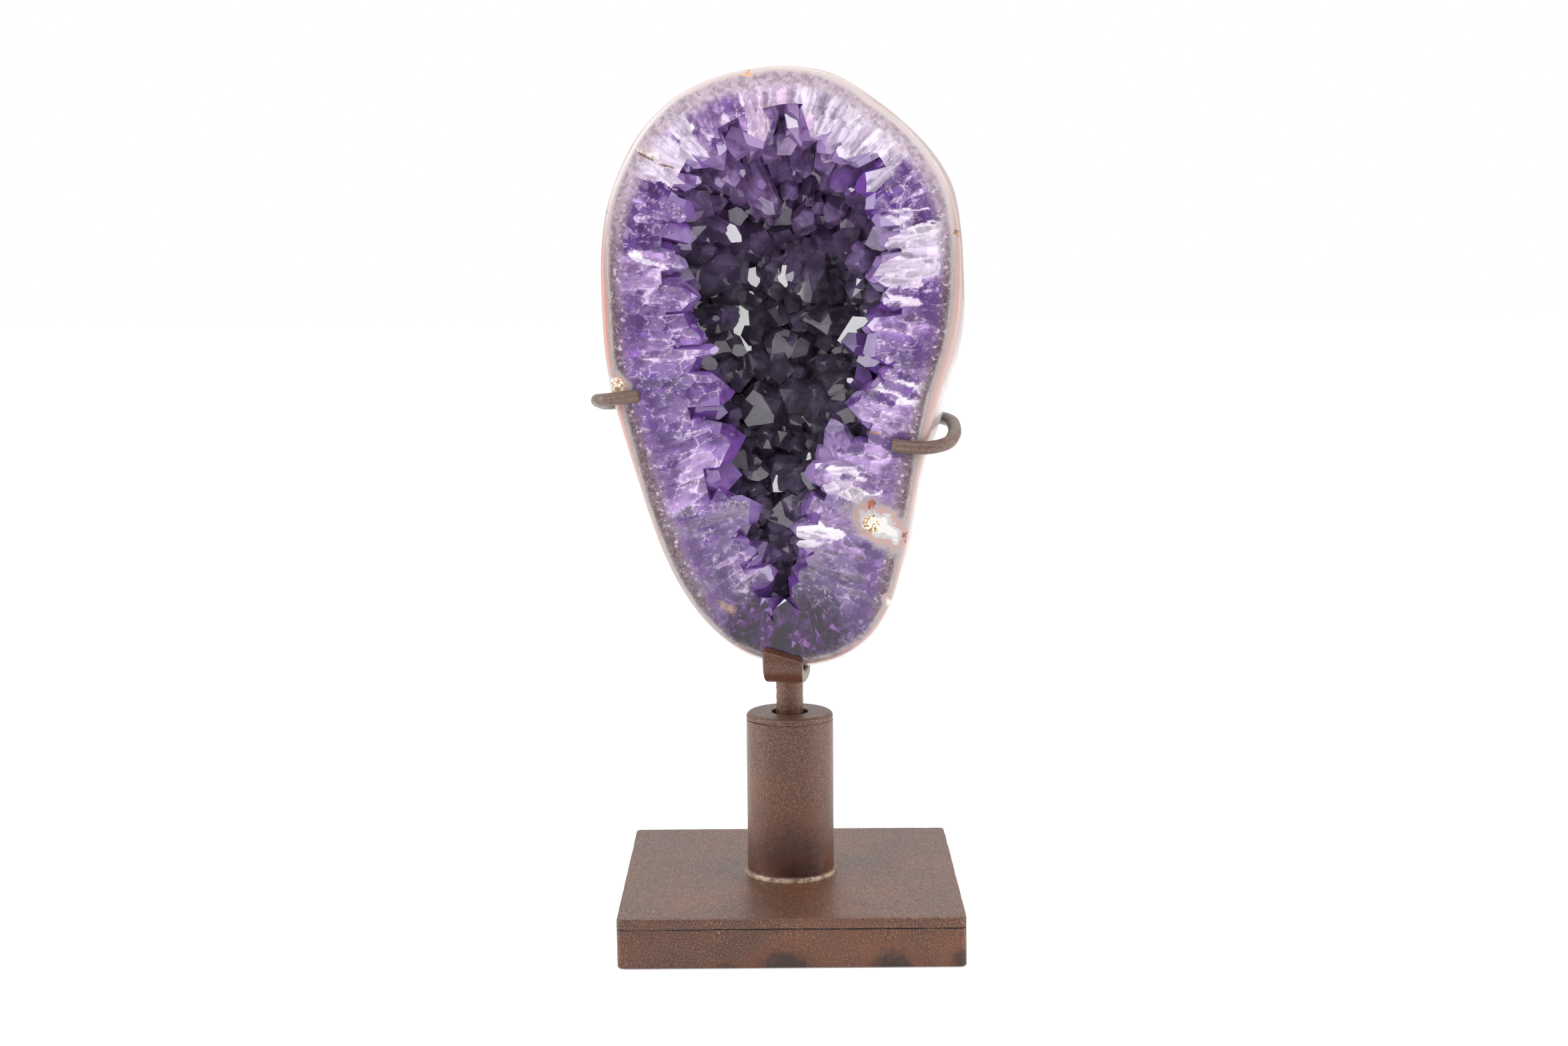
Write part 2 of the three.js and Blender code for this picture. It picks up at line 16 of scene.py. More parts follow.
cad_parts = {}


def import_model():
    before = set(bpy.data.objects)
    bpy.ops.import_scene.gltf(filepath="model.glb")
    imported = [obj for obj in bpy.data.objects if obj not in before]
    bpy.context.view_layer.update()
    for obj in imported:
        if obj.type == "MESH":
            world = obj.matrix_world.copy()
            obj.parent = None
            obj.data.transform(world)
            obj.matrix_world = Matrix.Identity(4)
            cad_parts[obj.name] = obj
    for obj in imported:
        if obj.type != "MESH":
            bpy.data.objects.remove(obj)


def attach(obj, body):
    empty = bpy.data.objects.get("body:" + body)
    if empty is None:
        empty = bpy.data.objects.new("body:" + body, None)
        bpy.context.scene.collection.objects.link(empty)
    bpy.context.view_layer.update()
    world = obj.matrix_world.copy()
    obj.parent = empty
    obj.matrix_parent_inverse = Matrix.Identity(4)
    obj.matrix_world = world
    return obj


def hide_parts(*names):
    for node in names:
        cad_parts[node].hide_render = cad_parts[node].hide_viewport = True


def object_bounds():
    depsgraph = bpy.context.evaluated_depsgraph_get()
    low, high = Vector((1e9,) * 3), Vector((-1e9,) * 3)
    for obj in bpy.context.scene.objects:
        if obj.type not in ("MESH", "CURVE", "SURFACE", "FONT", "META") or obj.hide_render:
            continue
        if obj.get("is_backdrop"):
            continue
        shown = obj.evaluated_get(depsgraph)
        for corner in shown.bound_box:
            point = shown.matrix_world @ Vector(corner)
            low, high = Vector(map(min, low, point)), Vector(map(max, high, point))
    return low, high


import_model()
cad_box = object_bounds()

MM = 0.001

# Sizes of the stand
GAP = 0.3
BASE_HALF = 80
BLOCK_HEIGHT = 18.1
PLATE_THICKNESS = 4.7
BASE_CORNER_RADIUS = 3
BASE_EDGE = 0.8
SEAM_EDGE = 0.3
BLOCK_DENTS = 0.25
PLATE_DENTS = 0.22
SEAM_PAINT = 0.19
PLATE_LOW = BLOCK_HEIGHT + GAP
PLATE_TOP = PLATE_LOW + PLATE_THICKNESS
PIPE_RADIUS = 21.1
PIPE_BORE_RADIUS = 17.5
PIPE_SKIN = 0.08
POST_TOP = 102.6
CAP_THICKNESS = 3.2
CAP_EDGE = 2.2
CAP_HOLE_RADIUS = 8.6
CAP_CRACK = 0.55
WELD_WIDTH = 1.3
WELD_HEIGHT = 2.6
SPINDLE_RADIUS = 6.6
SPINDLE_WELD = 0.7
SPINDLE_SCAR = 106.5
SQUARE_STEPS = (48, 6)
POST_SIDES = 168
SPINDLE_SIDES = 72

# The head stands turned to its left by this angle, and the stone is cut at this depth
HEAD_TURN = math.radians(-6)
FACE_DEPTH = -26

# Sizes of the stone
FACE_EDGE_INSET = 1.6
WALL = 17
CORE_LOW = 190
CORE_HIGH = 330
DEPTH_LOW = 66
DEPTH_HIGH = 88
ROUNDNESS = 2.6
HOLLOW_DEPTH_LOW = 32
HOLLOW_DEPTH_HIGH = 48
LUMP = 2.6
BULGE_PLACE = (46, 197)
BULGE_SPREAD = 13
BULGE = 10
SHELL_SIDES = 600
SKIN_INSET = 0.25

# How finely the outlines are divided, and the cut face with its spans in s and h
OUTLINE_POINTS = 4000
RIM_POINTS = 3000
WALL_POINTS = 400
ROOM_SIDES = 160
HOLLOW_SIDES = 120
FACE_GRID_STEP = 0.75
FACE_GRID_SPANS = [(-92, 92.1), (122, 418.1)]

# Sizes of the cradle and its hooks
STRAP_WIDTH = 19
STRAP_THICKNESS = 6
STRAP_CORNER = 1.3
SEAT_TOP = 125.3
LIP_INNER = FACE_DEPTH - 0.5
LIP_TOP = 139.4
LIP_CORNER = 130.6
LIP_CUT = 3.4
LIP_REACH = 3
LIP_SLANT = (0.276, 0.249)
SPINE_CLEARANCE = 2
SPINE_STRAIGHT = 205
SPINE_TOP = 262
STRAP_STEPS = 140
ROD_RADIUS = 3.2
ROD_SIDES = 24
ARM_HEIGHT = 246
ARM_CLEARANCE = 2.2
LEFT_FACE_HALF = 77.5
RIGHT_FACE_HALF = 70

# The turns from the face at which an arm follows the flank, and those that it rises between
HOOK_TURNS = (34, 48, 62, 74, 82)
HOOK_RISE = (20, 88)

# The edge of the cut face as [s, h], clockwise from the top
FACE_OUTLINE = [
    [6, 408.5], [25, 404.5], [43, 393.5], [57, 382], [69, 368.5], [78, 353], [82.5, 333],
    [83.5, 313], [82.5, 295], [79, 277], [73.5, 260], [69, 243], [64.5, 224], [61, 206],
    [58, 190], [55, 176], [50, 159.5], [41, 145.5], [27, 135.5], [9.5, 131.5], [-8, 133.5],
    [-23, 139.5], [-37, 151], [-48, 166], [-56, 182], [-62, 198], [-68, 217], [-74.5, 239],
    [-79.5, 258.5], [-82.5, 275], [-84, 299], [-83.8, 325], [-80.5, 346], [-73, 365],
    [-62, 382.5], [-49, 394.5], [-32, 403], [-13, 407.5],
]

# The edge of the hollow on the cut face as [s, h], where the free crystals start
HOLLOW_OUTLINE = [
    [1, 388], [12, 388], [26, 382], [37, 372], [46, 361], [51, 342], [53, 317], [53, 297],
    [50, 274], [46, 257], [38, 241], [35, 227], [21, 217], [15, 203], [12, 186], [11, 168],
    [9, 154], [1, 150], [-9, 160], [-16, 176], [-25, 193], [-32, 211], [-35, 227], [-39, 243],
    [-43, 258], [-47, 277], [-51, 296], [-53, 319], [-51, 341], [-44, 359], [-34, 373],
    [-19, 382], [-8, 386],
]

# The hollow's mouth is flared: how much wider the hollow is by its turn from the face
MOUTH = {0: 3, 5: 3, 11: 2, 20: 1, 32: 0, 46: 0, 60: 0, 70: 0, 79: 0, 86: 0}

# Crystals cut by the front face: tip s and h, root s and h, radius, and tone
FACE_CRYSTALS = [
    [-2, 393, 1, 404, 7.5, "pink"], [-5, 374, -17, 396, 9.5, "pale"],
    [-29, 367, -36, 385, 7.5, "grey"], [-33, 362, -52, 375, 6, "lilac"],
    [-36, 356, -57, 359, 4.5, "pale"], [9, 387, 28, 396, 9, "pale"],
    [16, 369, 36, 383, 7, "white"], [22, 365, 44, 375, 7, "white"],
    [33, 352, 58, 357, 9, "deep"], [40, 342, 58, 347, 5.5, "violet"],
    [41, 338, 62, 340, 5.5, "white"], [43, 328, 65, 332, 7, "white"],
    [41, 317, 62, 320, 7, "pale"], [39, 311, 68, 314, 5, "lilac"],
    [44, 298, 61, 305, 6, "deep"], [36, 288, 58, 289, 7.5, "lilac"],
    [41, 278, 61, 277, 8.5, "deep"], [44, 269, 61, 267, 4, "lilac"],
    [40, 262, 58, 259, 6, "white"], [28, 254, 55, 250, 8.5, "lilac"],
    [21, 247, 35, 216, 9.5, "white"], [9, 220, 30, 222, 8, "pale"],
    [2, 195, 16, 193, 7, "white"], [11, 186, 28, 182, 4.5, "grey"],
    [2, 176, 26, 168, 10, "grey"], [7, 153, 11, 141, 6.5, "smoky"],
    [-11, 162, -13, 148, 7, "smoky"], [-2, 174, -30, 168, 8, "grey"],
    [-13, 184, -39, 178, 7, "lilac"], [-9, 205, -36, 199, 10, "grey"],
    [-17, 238, -48, 227, 13, "violet"], [-21, 259, -54, 259, 11, "violet"],
    [-29, 279, -53, 276, 5, "lilac"], [-34, 284, -55, 285, 5.5, "violet"],
    [-37, 302, -57, 303, 8, "lilac"], [-43, 317, -60, 321, 5.5, "white"],
    [-39, 330, -59, 336, 6, "violet"], [-39, 340, -62, 347, 8, "lilac"],
]

# Large crystals inside the hollow: tip s, d and h, root s, d and h, and radius
HOLLOW_CRYSTALS = [
    [-4, -8, 340, -17, 8, 363, 7.5], [11, -1, 298, 9, 22, 322, 12],
    [-20, -6, 318, -49, 8, 307, 10], [28, -12, 318, 50, 0, 321, 8.5],
    [30, -6, 300, 43, 8, 316, 8.5], [-21, -8, 294, -46, 4, 289, 7],
    [26, -14, 282, 47, -6, 279, 7.5], [34, -14, 271, 44, -6, 254, 6.5],
    [6, 4, 245, 26, 16, 237, 7], [11, 8, 261, 9, 24, 238, 7], [-10, 6, 240, -16, 22, 222, 9],
    [-8, -4, 218, -30, 6, 221, 7], [-2, -6, 207, 9, 6, 196, 7.5], [-1, -12, 181, -18, -4, 176, 5],
    [-22, -14, 353, -31, -4, 371, 7], [-3, -12, 368, 8, -2, 388, 7.5],
    [8, 2, 357, 6, 12, 378, 6], [21, -16, 353, 39, -8, 361, 7], [-5, 6, 312, -11, 24, 325, 6.5],
    [-20, -4, 328, -46, 8, 340, 7.5], [0, 6, 294, 6, 24, 308, 6], [13, 0, 272, 32, 12, 268, 6],
    [-18, -2, 276, -42, 8, 285, 6.5], [-21, -8, 251, -40, 2, 235, 7],
    [-14, 8, 265, -30, 22, 271, 7.5],
]

# Crystals on the ledge high up at the hollow's back, written as those above
LEDGE_CRYSTALS = [
    [8, -3, 334, 9, 22, 345, 8], [-7, 0, 340, -11, 20, 349, 7], [19, -1, 337, 25, 18, 347, 7.5],
    [1, 2, 348, 0, 20, 358, 6.5],
]

# How the smaller crystals stand on the hollow's wall: rows by their turn, spacing and sizes
SMALL_ROWS = [6, 18, 31, 45, 59, 73, 86]
SMALL_SPACING = 13.5
SMALL_RADIUS = (5, 12.5)
SMALL_REACH = (5, 18)
SMALL_ROOT = 6
SMALL_LEAN = 1.05
FINE_STEPS = 20
FINE_SHIFT = 16

# How deep a cut crystal's root lies, how many smaller crystals stand against a large one, how
# the faces at a crystal's point lean outward and ahead, and the start of the random numbers
ROOT_DEPTH = 8
COMPANIONS = 2
POINT_LEAN = (0.786, 0.618)
SEED = 4711

# The columns that the face cuts between the fine druse and the larger crystals
COLUMN_SPACING = 10
COLUMN_LOW = 9
COLUMN_HIGH = 29
COLUMN_RADIUS = (3.5, 7.5)
COLUMN_STEPS = 600

# The quartz's tones, as a colour and how clear it is
TONES = dict(
    pink=((0.53, 0.39, 0.53), 0.1), grey=((0.3, 0.25, 0.35), 0.35), lilac=((0.37, 0.26, 0.46), 0.15),
    white=((0.72, 0.64, 0.74), 0.1), pale=((0.58, 0.48, 0.61), 0.15), deep=((0.09, 0.035, 0.18), 0.2),
    violet=((0.19, 0.1, 0.31), 0.2), smoky=((0.07, 0.045, 0.095), 0.12),
)

# Which tone the quartz has by place on the face, as [s, h]
TINTS = [
    [0, 398, "pink"], [30, 392, "pale"], [-30, 394, "lilac"], [-52, 382, "pale"], [50, 378, "pale"],
    [62, 364, "pale"], [60, 350, "deep"], [72, 335, "pale"], [70, 318, "pale"], [70, 300, "deep"],
    [66, 285, "violet"], [64, 268, "deep"], [66, 255, "lilac"], [55, 235, "deep"],
    [44, 224, "lilac"], [30, 205, "lilac"], [24, 190, "lilac"], [40, 178, "violet"],
    [46, 160, "violet"], [30, 150, "violet"], [14, 142, "smoky"], [2, 139, "smoky"],
    [12, 154, "smoky"], [-12, 154, "smoky"], [-14, 144, "smoky"],
    [-30, 158, "lilac"], [-40, 175, "violet"], [-48, 195, "violet"], [-56, 215, "lilac"],
    [-60, 235, "violet"], [-66, 258, "violet"], [-60, 275, "violet"], [-70, 292, "deep"],
    [-60, 305, "lilac"], [-72, 322, "deep"], [-60, 345, "deep"], [-70, 356, "pale"],
]

# Eyes of agate on the cut face, with the open pocket in them
Eye = namedtuple("Eye", "centre long short turn ragged pocket open")
EYES = [
    Eye((47, 196.5), 16, 8, -33, 1.5, (42, 198), (3.6, 40, 4.6)),
    Eye((50, 160.5), 3.6, 2.6, -45, 1.2, (50, 160), (1.2, 40, 1.2)),
    Eye((-78, 262), 7, 4.8, -50, 1.2, (-77.5, 262), (3.4, 40, 3.8)),
]

# An eye's rings from outside in: colour, where each begins and is full, and its share
EYE_RINGS = [
    [(0.32, 0.27, 0.28), 1.5, 1.05, 0.85], [(0.38, 0.24, 0.21), 1.06, 0.9, 0.9],
    [(0.4, 0.39, 0.41), 0.7, 0.6, 1.0], [(0.6, 0.56, 0.54), 0.48, 0.4, 1.0],
]

# Chips, pits, cracks and stained patches of the cut face
Mark = namedtuple("Mark", "centre long short turn colour share")
MARKS = [
    Mark((-61, 369), 7, 1.6, -25, (0.5, 0.43, 0.4), 0.6),
    Mark((-63, 368.3), 5, 0.5, -28, (0.12, 0.06, 0.035), 0.9),
    Mark((-52.5, 363.5), 5, 0.5, -14, (0.14, 0.07, 0.04), 0.9),
    Mark((-81.9, 342.6), 1.6, 1.2, 0, (0.05, 0.03, 0.02), 0.9),
    Mark((81.8, 331.5), 3.4, 1.2, -35, (0.24, 0.13, 0.08), 0.8),
    Mark((-15.6, 404.5), 3.8, 1.6, -8, (0.5, 0.27, 0.12), 0.7),
    Mark((41.6, 206.6), 2, 1.7, 0, (0.3, 0.07, 0.04), 0.9),
    Mark((57.7, 191.2), 2.8, 1.5, -60, (0.2, 0.07, 0.04), 0.9),
    Mark((-26, 157), 6, 2.2, -35, (0.2, 0.125, 0.075), 0.75),
    Mark((43, 240.3), 7, 0.5, -10, (0.3, 0.14, 0.08), 0.8),
]

# The hooks' middle lines on and beside the face as [s, d, h], from the tip
LEFT_HOOK = [
    [-66.4, -29.6, 257.6], [-76, -29.6, 256.5], [-83.4, -28, 255.5], [-87.7, -20, 254.7],
    [-89.4, -5, 252.8], [-88.6, 8, 251],
]
RIGHT_HOOK = [
    [51.5, -29.6, 235], [62.3, -29.6, 233.8], [70.6, -29.2, 234], [76.8, -25, 235.5],
    [79.4, -14, 238], [79.2, 0, 240.4], [77.2, 12, 242.2],
]

# Burnt places of the paint: centre, half sizes and share
BASE_BURNS = [
    [(-3, -BASE_HALF, 0), (15, 6, 11), 0.95], [(46, -BASE_HALF, 0), (12, 6, 10), 0.95],
    [(79, -BASE_HALF, 2), (8, 6, 9), 0.9], [(-30, -BASE_HALF, 0), (6, 5, 4), 0.6],
]
POST_BURNS = [
    [(8, -PIPE_RADIUS, PLATE_TOP + 5), (16, 12, 7), 0.95],
    [(2, -PIPE_RADIUS, PLATE_TOP + 10), (26, 16, 22), 0.6],
]
LIP_BURNS = [[(0, -32, 133), (16, 9, 12), 0.35]]

# The camera, as the photograph was taken
IMAGE_WIDTH = 2350
FOCAL_PIXELS = 3598
SENSOR_WIDTH = 36
CAMERA_PLACE = (-2.1, -1139.0, 347.1)
CAMERA_PITCH = math.radians(7.64)
CAMERA_ROLL = math.radians(-0.43)

# How bright the white surround is as a light: low, high, and its shares in front and behind
HORIZON_LIGHT = 0.28
ZENITH_LIGHT = 0.85
CAMERA_SIDE_SHARE = 0.25
BACKDROP_SHARE = 2.4

# The soft lights in metres: name, place, width and height, and radiance
LIGHTS_AIM = (0, 0, 0.25)
LIGHTS = [
    ["left_light", (-1.35, -0.15, 0.65), (0.9, 1.3), 3.4],
    ["right_light", (1.35, -0.15, 0.55), (0.9, 1.3), 3.4],
    ["left_fill", (-1.0, -1.2, 0.9), (0.48, 0.64), 8],
    ["right_fill", (0.95, -1.25, 0.8), (0.41, 0.57), 7.7],
    ["front_fill", (0, -1.05, 1.6), (0.76, 0.43), 6.4],
    ["top_light", (0, 0.3, 2.6), (4, 4), 0.6],
]
FLOOR_HALF = 6
FLOOR_DROP = 0.0004


# Numbers and curves


def random_run(seed):
    """A repeatable run of numbers between 0 and 1."""
    state = seed
    while True:
        state = (state * 16807) % 2147483647
        yield state / 2147483647


def smoothstep(x, low, high):
    t = np.clip((np.asarray(x, float) - low) / (high - low), 0, 1)
    return t * t * (3 - 2 * t)


def hump(x, middle, width):
    """A bell-shaped hump, 1 high."""
    return np.exp(-(((x - middle) / width) ** 2))


def lattice(cells, seed):
    """A repeatable number between -1 and 1 for each whole-numbered cell."""
    x, y, z = (cells[..., i].astype(np.int64) & 0xFFFFFFFF for i in range(3))
    mixed = (x * 374761393 + y * 668265263 + z * 2246822519 + seed * 3266489917) & 0xFFFFFFFF
    mixed = ((mixed ^ (mixed >> 13)) * 1274126177) & 0xFFFFFFFF
    mixed = mixed ^ (mixed >> 16)
    return mixed / 0x7FFFFFFF - 1


def grain(points, size, seed, octaves=1):
    """Smooth noise between about -1 and 1 at points, with lumps of the given size."""
    total = np.zeros(len(points))
    for octave in range(octaves):
        place = np.asarray(points, float) * (2**octave / size)
        low = np.floor(place)
        part = place - low
        part = part * part * (3 - 2 * part)
        for corner in np.ndindex(2, 2, 2):
            share = np.prod(np.where(corner, part, 1 - part), axis=1)
            total += 0.5**octave * share * lattice(low + corner, seed + octave)
    return total


def stack(*parts):
    """Points from their parts, of which some may be single numbers."""
    return np.stack(np.broadcast_arrays(*parts), axis=1)


def unit(vectors):
    return vectors / np.linalg.norm(vectors, axis=-1, keepdims=True)


def spun(points, angle):
    """Points turned about the upward axis."""
    c, s = math.cos(angle), math.sin(angle)
    x, y, z = points.T
    return stack(x * c - y * s, x * s + y * c, z)


def spoke(axis, side, angle):
    """A direction across an axis, turned about it from one side."""
    return math.cos(angle) * side + math.sin(angle) * np.cross(axis, side)


def curve_piece(corners, part):
    """A centripetal Catmull-Rom curve between the second and the third of four corners."""
    a, b, c, d = corners
    part = part[:, None]
    first, second, third = (
        np.maximum(np.linalg.norm(q - p, axis=1), 1e-6)[:, None] ** 0.5
        for p, q in ((a, b), (b, c), (c, d))
    )
    leave = ((b - a) / first - (c - a) / (first + second) + (c - b) / second) * second
    reach = ((c - b) / second - (d - b) / (second + third) + (d - c) / third) * second
    cubic = 2 * b - 2 * c + leave + reach
    square = -3 * b + 3 * c - 2 * leave - reach
    return b + leave * part + square * part**2 + cubic * part**3


def closed_curve(points, count):
    """Points along a smooth closed curve through the given ones."""
    known = np.asarray(points, float)
    place = np.arange(count) / count * len(known)
    step = place.astype(int)
    return curve_piece([known[(step + k) % len(known)] for k in (-1, 0, 1, 2)], place - step)


def open_curve(points, shares):
    """Points at shares of a smooth open curve through the given ones."""
    known = np.asarray(points, float)
    known = np.vstack([2 * known[0] - known[1], known, 2 * known[-1] - known[-2]])
    place = np.asarray(shares) * (len(known) - 3)
    step = np.minimum(place.astype(int), len(known) - 4)
    return curve_piece([known[step + k] for k in (0, 1, 2, 3)], place - step)


def run_along(line):
    """How far along a line each of its points lies."""
    return np.concatenate([[0], np.cumsum(np.linalg.norm(np.diff(line, axis=0), axis=1))])


def even_spots(line, count):
    """Points that part a line in evenly long steps, both ends included."""
    run = run_along(line)
    places = np.linspace(0, run[-1], count + 1)
    return stack(*(np.interp(places, run, part) for part in line.T))


def arc(centre, radius, start, end, steps):
    """Points of an arc in a profile, with its angles in degrees."""
    angles = np.radians(np.linspace(start, end, steps))
    return [(centre[0] + radius * math.cos(a), centre[1] + radius * math.sin(a)) for a in angles]


# Meshes


def in_model(points, turned):
    """Points in millimetres brought to metres, and turned with the head if they are on it."""
    points = np.asarray(points, float) * MM
    return spun(points, HEAD_TURN) if turned else points


def new_object(name, data):
    piece = bpy.data.objects.new(name, data)
    bpy.context.scene.collection.objects.link(piece)
    return piece


def new_piece(name, form, turned=False, sharp=35):
    """A piece from points in millimetres and faces, shaded smooth up to an angle."""
    mesh = bpy.data.meshes.new(name)
    mesh.from_pydata(in_model(form[0], turned).tolist(), [], form[1])
    body = bmesh.new()
    body.from_mesh(mesh)
    bmesh.ops.remove_doubles(body, verts=body.verts, dist=1e-7)
    bmesh.ops.recalc_face_normals(body, faces=body.faces)
    for face in body.faces:
        face.smooth = True
    for edge in body.edges:
        edge.smooth = edge.calc_face_angle(0) < math.radians(sharp)
    body.to_mesh(mesh)
    body.free()
    return new_object(name, mesh)


def vertex_vectors(piece, kind):
    values = np.empty(len(piece.data.vertices) * 3)
    piece.data.vertices.foreach_get(kind, values)
    return values.reshape(-1, 3)


def head_corners(piece):
    """A piece's corners in the head's frame, in millimetres."""
    return spun(vertex_vectors(piece, "co") / MM, -HEAD_TURN)


def push(piece, distances):
    """Moves a piece's corners inward along their normals, where distances in millimetres say so."""
    moves = vertex_vectors(piece, "normal") * np.minimum(distances, 0)[:, None] * MM
    piece.data.vertices.foreach_set("co", (vertex_vectors(piece, "co") + moves).ravel())
    piece.data.update()
    return piece


def record(piece, domain="POINT", **attributes):
    """Keeps numbers or vectors of a piece's mesh for its material to read."""
    for name, values in attributes.items():
        values = np.asarray(values, np.float32)
        kind, field = ("FLOAT", "value") if values.ndim == 1 else ("FLOAT_VECTOR", "vector")
        piece.data.attributes.new(name, kind, domain).data.foreach_set(field, values.ravel())


def dress(piece, node, body, material):
    piece.data.materials.clear()
    piece.data.materials.append(material)
    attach(piece, body)
    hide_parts(node)


def ring_faces(rings, sides, closed=False):
    """The faces between rings of points that are listed one after the other."""
    here = np.arange(rings * sides).reshape(rings, sides)
    after = np.roll(here, -1, axis=0)
    faces = np.stack([here, np.roll(here, -1, 1), np.roll(after, -1, 1), after], axis=-1)
    return (faces if closed else faces[:-1]).reshape(-1, 4).tolist()


def tube_of(rings):
    """Points and faces of a body made of rings, with its two ends filled."""
    count, sides = len(rings), len(rings[0])
    ends = [list(range(sides)), list(range((count - 1) * sides, count * sides))]
    return np.concatenate(rings), ring_faces(count, sides) + ends


def lathe(profile, sides, swell):
    """A ring-shaped body round Z from a closed profile. A function may move and swell each ring."""
    turn = np.arange(sides) * 2 * math.pi / sides
    rings = []
    for radius, height in profile:
        ring = stack(radius * np.cos(turn), radius * np.sin(turn), height)
        ring[:, :2] *= 1 + np.reshape(swell(ring, radius, turn), (-1, 1)) / radius
        rings.append(ring)
    return np.concatenate(rings), ring_faces(len(rings), sides, closed=True)


def sweep(line, radii, sides):
    """A round bar along a line, with its ends filled."""
    along = unit(np.gradient(line, axis=0))
    side = np.cross(along[0], (0.3, 0.2, 0.9))
    turn = (np.arange(sides) * 2 * math.pi / sides)[:, None]
    rings = []
    for spot, ahead, radius in zip(line, along, radii):
        side = unit(side - ahead * (side @ ahead))
        rings.append(spot + radius * (np.cos(turn) * side + np.sin(turn) * np.cross(ahead, side)))
    return tube_of(rings)


# Materials


class Field:
    """A number, vector or colour over a surface: a node's output, or a plain value."""

    def __init__(self, tree, value):
        self.tree = tree
        self.value = value

    def math(self, operation, other=0.0):
        return self.tree.add("Math", {0: self, 1: other}, operation=operation)

    def __add__(self, other):
        return self.math("ADD", other)

    def __sub__(self, other):
        return self.math("SUBTRACT", other)

    def __rsub__(self, other):
        return Field(self.tree, other) - self

    def __mul__(self, other):
        return self.math("MULTIPLY", other)

    def __abs__(self):
        return self.math("ABSOLUTE")

    __radd__ = __add__

    def or_more(self, other):
        return self.math("MAXIMUM", other)

    def vector(self, operation, other=(0, 0, 0), output=0):
        return self.tree.add("VectorMath", {0: self, 1: other}, output, operation=operation)

    def parts(self):
        """The three parts of a vector or colour."""
        node = self.tree.add("SeparateXYZ", {0: self}).value.node
        return [Field(self.tree, output) for output in node.outputs]

    def step(self, low, high, start=0.0, end=1.0):
        """A smooth step from one number to another as this one goes from low to high."""
        inputs = {"Value": self, "From Min": low, "From Max": high, "To Min": start, "To Max": end}
        return self.tree.add("MapRange", inputs, interpolation_type="SMOOTHSTEP")

    def noise(self, scale, detail=2.0, rough=0.5, bend=0.0):
        """Noise at this place."""
        inputs = {"Vector": self, "Scale": scale, "Detail": detail}
        inputs |= {"Roughness": rough, "Distortion": bend}
        return self.tree.add("TexNoise", inputs)

    def cells(self, scale, output="Color", feature="F1"):
        """Cells with straight borders: their own colours, or the distance to their borders."""
        return self.tree.add("TexVoronoi", {"Vector": self, "Scale": scale}, output, feature=feature)

    def away(self, centre, size):
        """This place's distance from a centre, as a share of a size along each axis."""
        share = self.vector("SUBTRACT", centre).vector("MULTIPLY", [1 / length for length in size])
        return share.vector("LENGTH", output="Value")

    def to(self, other, share):
        """This colour blended into another by a share."""
        return self.tree.add("Mix", {0: share, 6: self, 7: other}, 2, data_type="RGBA")

    def shade(self, amount):
        """This colour made darker or lighter by a number."""
        return self.vector("MULTIPLY", self.tree.join(amount, amount, amount))

    def ramp(self, *stops):
        """A colour ramp through stops of a number and a colour."""
        colours = self.tree.add("ValToRGB", {"Fac": self})
        elements = colours.value.node.color_ramp.elements
        while len(elements) < len(stops):
            elements.new(0.5)
        for element, (spot, colour) in zip(elements, stops):
            element.position = spot
            element.color = (*colour, 1.0)
        return colours


class Tree:
    """The nodes of a material or of the world."""

    def __init__(self, owner):
        owner.use_nodes = True
        self.nodes = owner.node_tree.nodes
        self.links = owner.node_tree.links

    def feed(self, socket, value):
        """Links a socket to a node's output, or sets a plain number, vector or colour on it."""
        if isinstance(value, Field):
            value = value.value
        if isinstance(value, bpy.types.NodeSocket):
            self.links.new(value, socket)
        else:
            socket.default_value = (*value, 1.0) if socket.type == "RGBA" else value

    def add(self, kind, inputs, output=0, **settings):
        node = self.nodes.new("ShaderNode" + kind)
        for key, value in settings.items():
            setattr(node, key, value)
        for key, value in inputs.items():
            self.feed(node.inputs[key], value)
        return Field(self, node.outputs[output])

    def join(self, x, y, z):
        return self.add("CombineXYZ", {0: x, 1: y, 2: z})


class Surface(Tree):
    """A material, and what its nodes can read."""

    def __init__(self, name, **sockets):
        self.material = bpy.data.materials.new(name)
        super().__init__(self.material)
        self.wear(**sockets)

    def wear(self, **sockets):
        """Sets or links the shader's sockets."""
        shader = self.nodes["Principled BSDF"]
        for name, value in sockets.items():
            self.feed(shader.inputs[name.replace("_", " ")], value)
        return self.material

    def place(self):
        """The place on the object in millimetres, in the model's frame."""
        return self.add("TexCoord", {}, "Object").vector("MULTIPLY", (1 / MM, 1 / MM, 1 / MM))

    def number(self, name, output="Fac"):
        """A number that the mesh keeps."""
        return self.add("Attribute", {}, output, attribute_name=name)

    def triple(self, name):
        """A place or a colour that the mesh keeps."""
        return self.number(name, "Vector")

    def bump(self, height, distance, strength):
        return self.add("Bump", {"Height": height, "Distance": distance * MM, "Strength": strength})


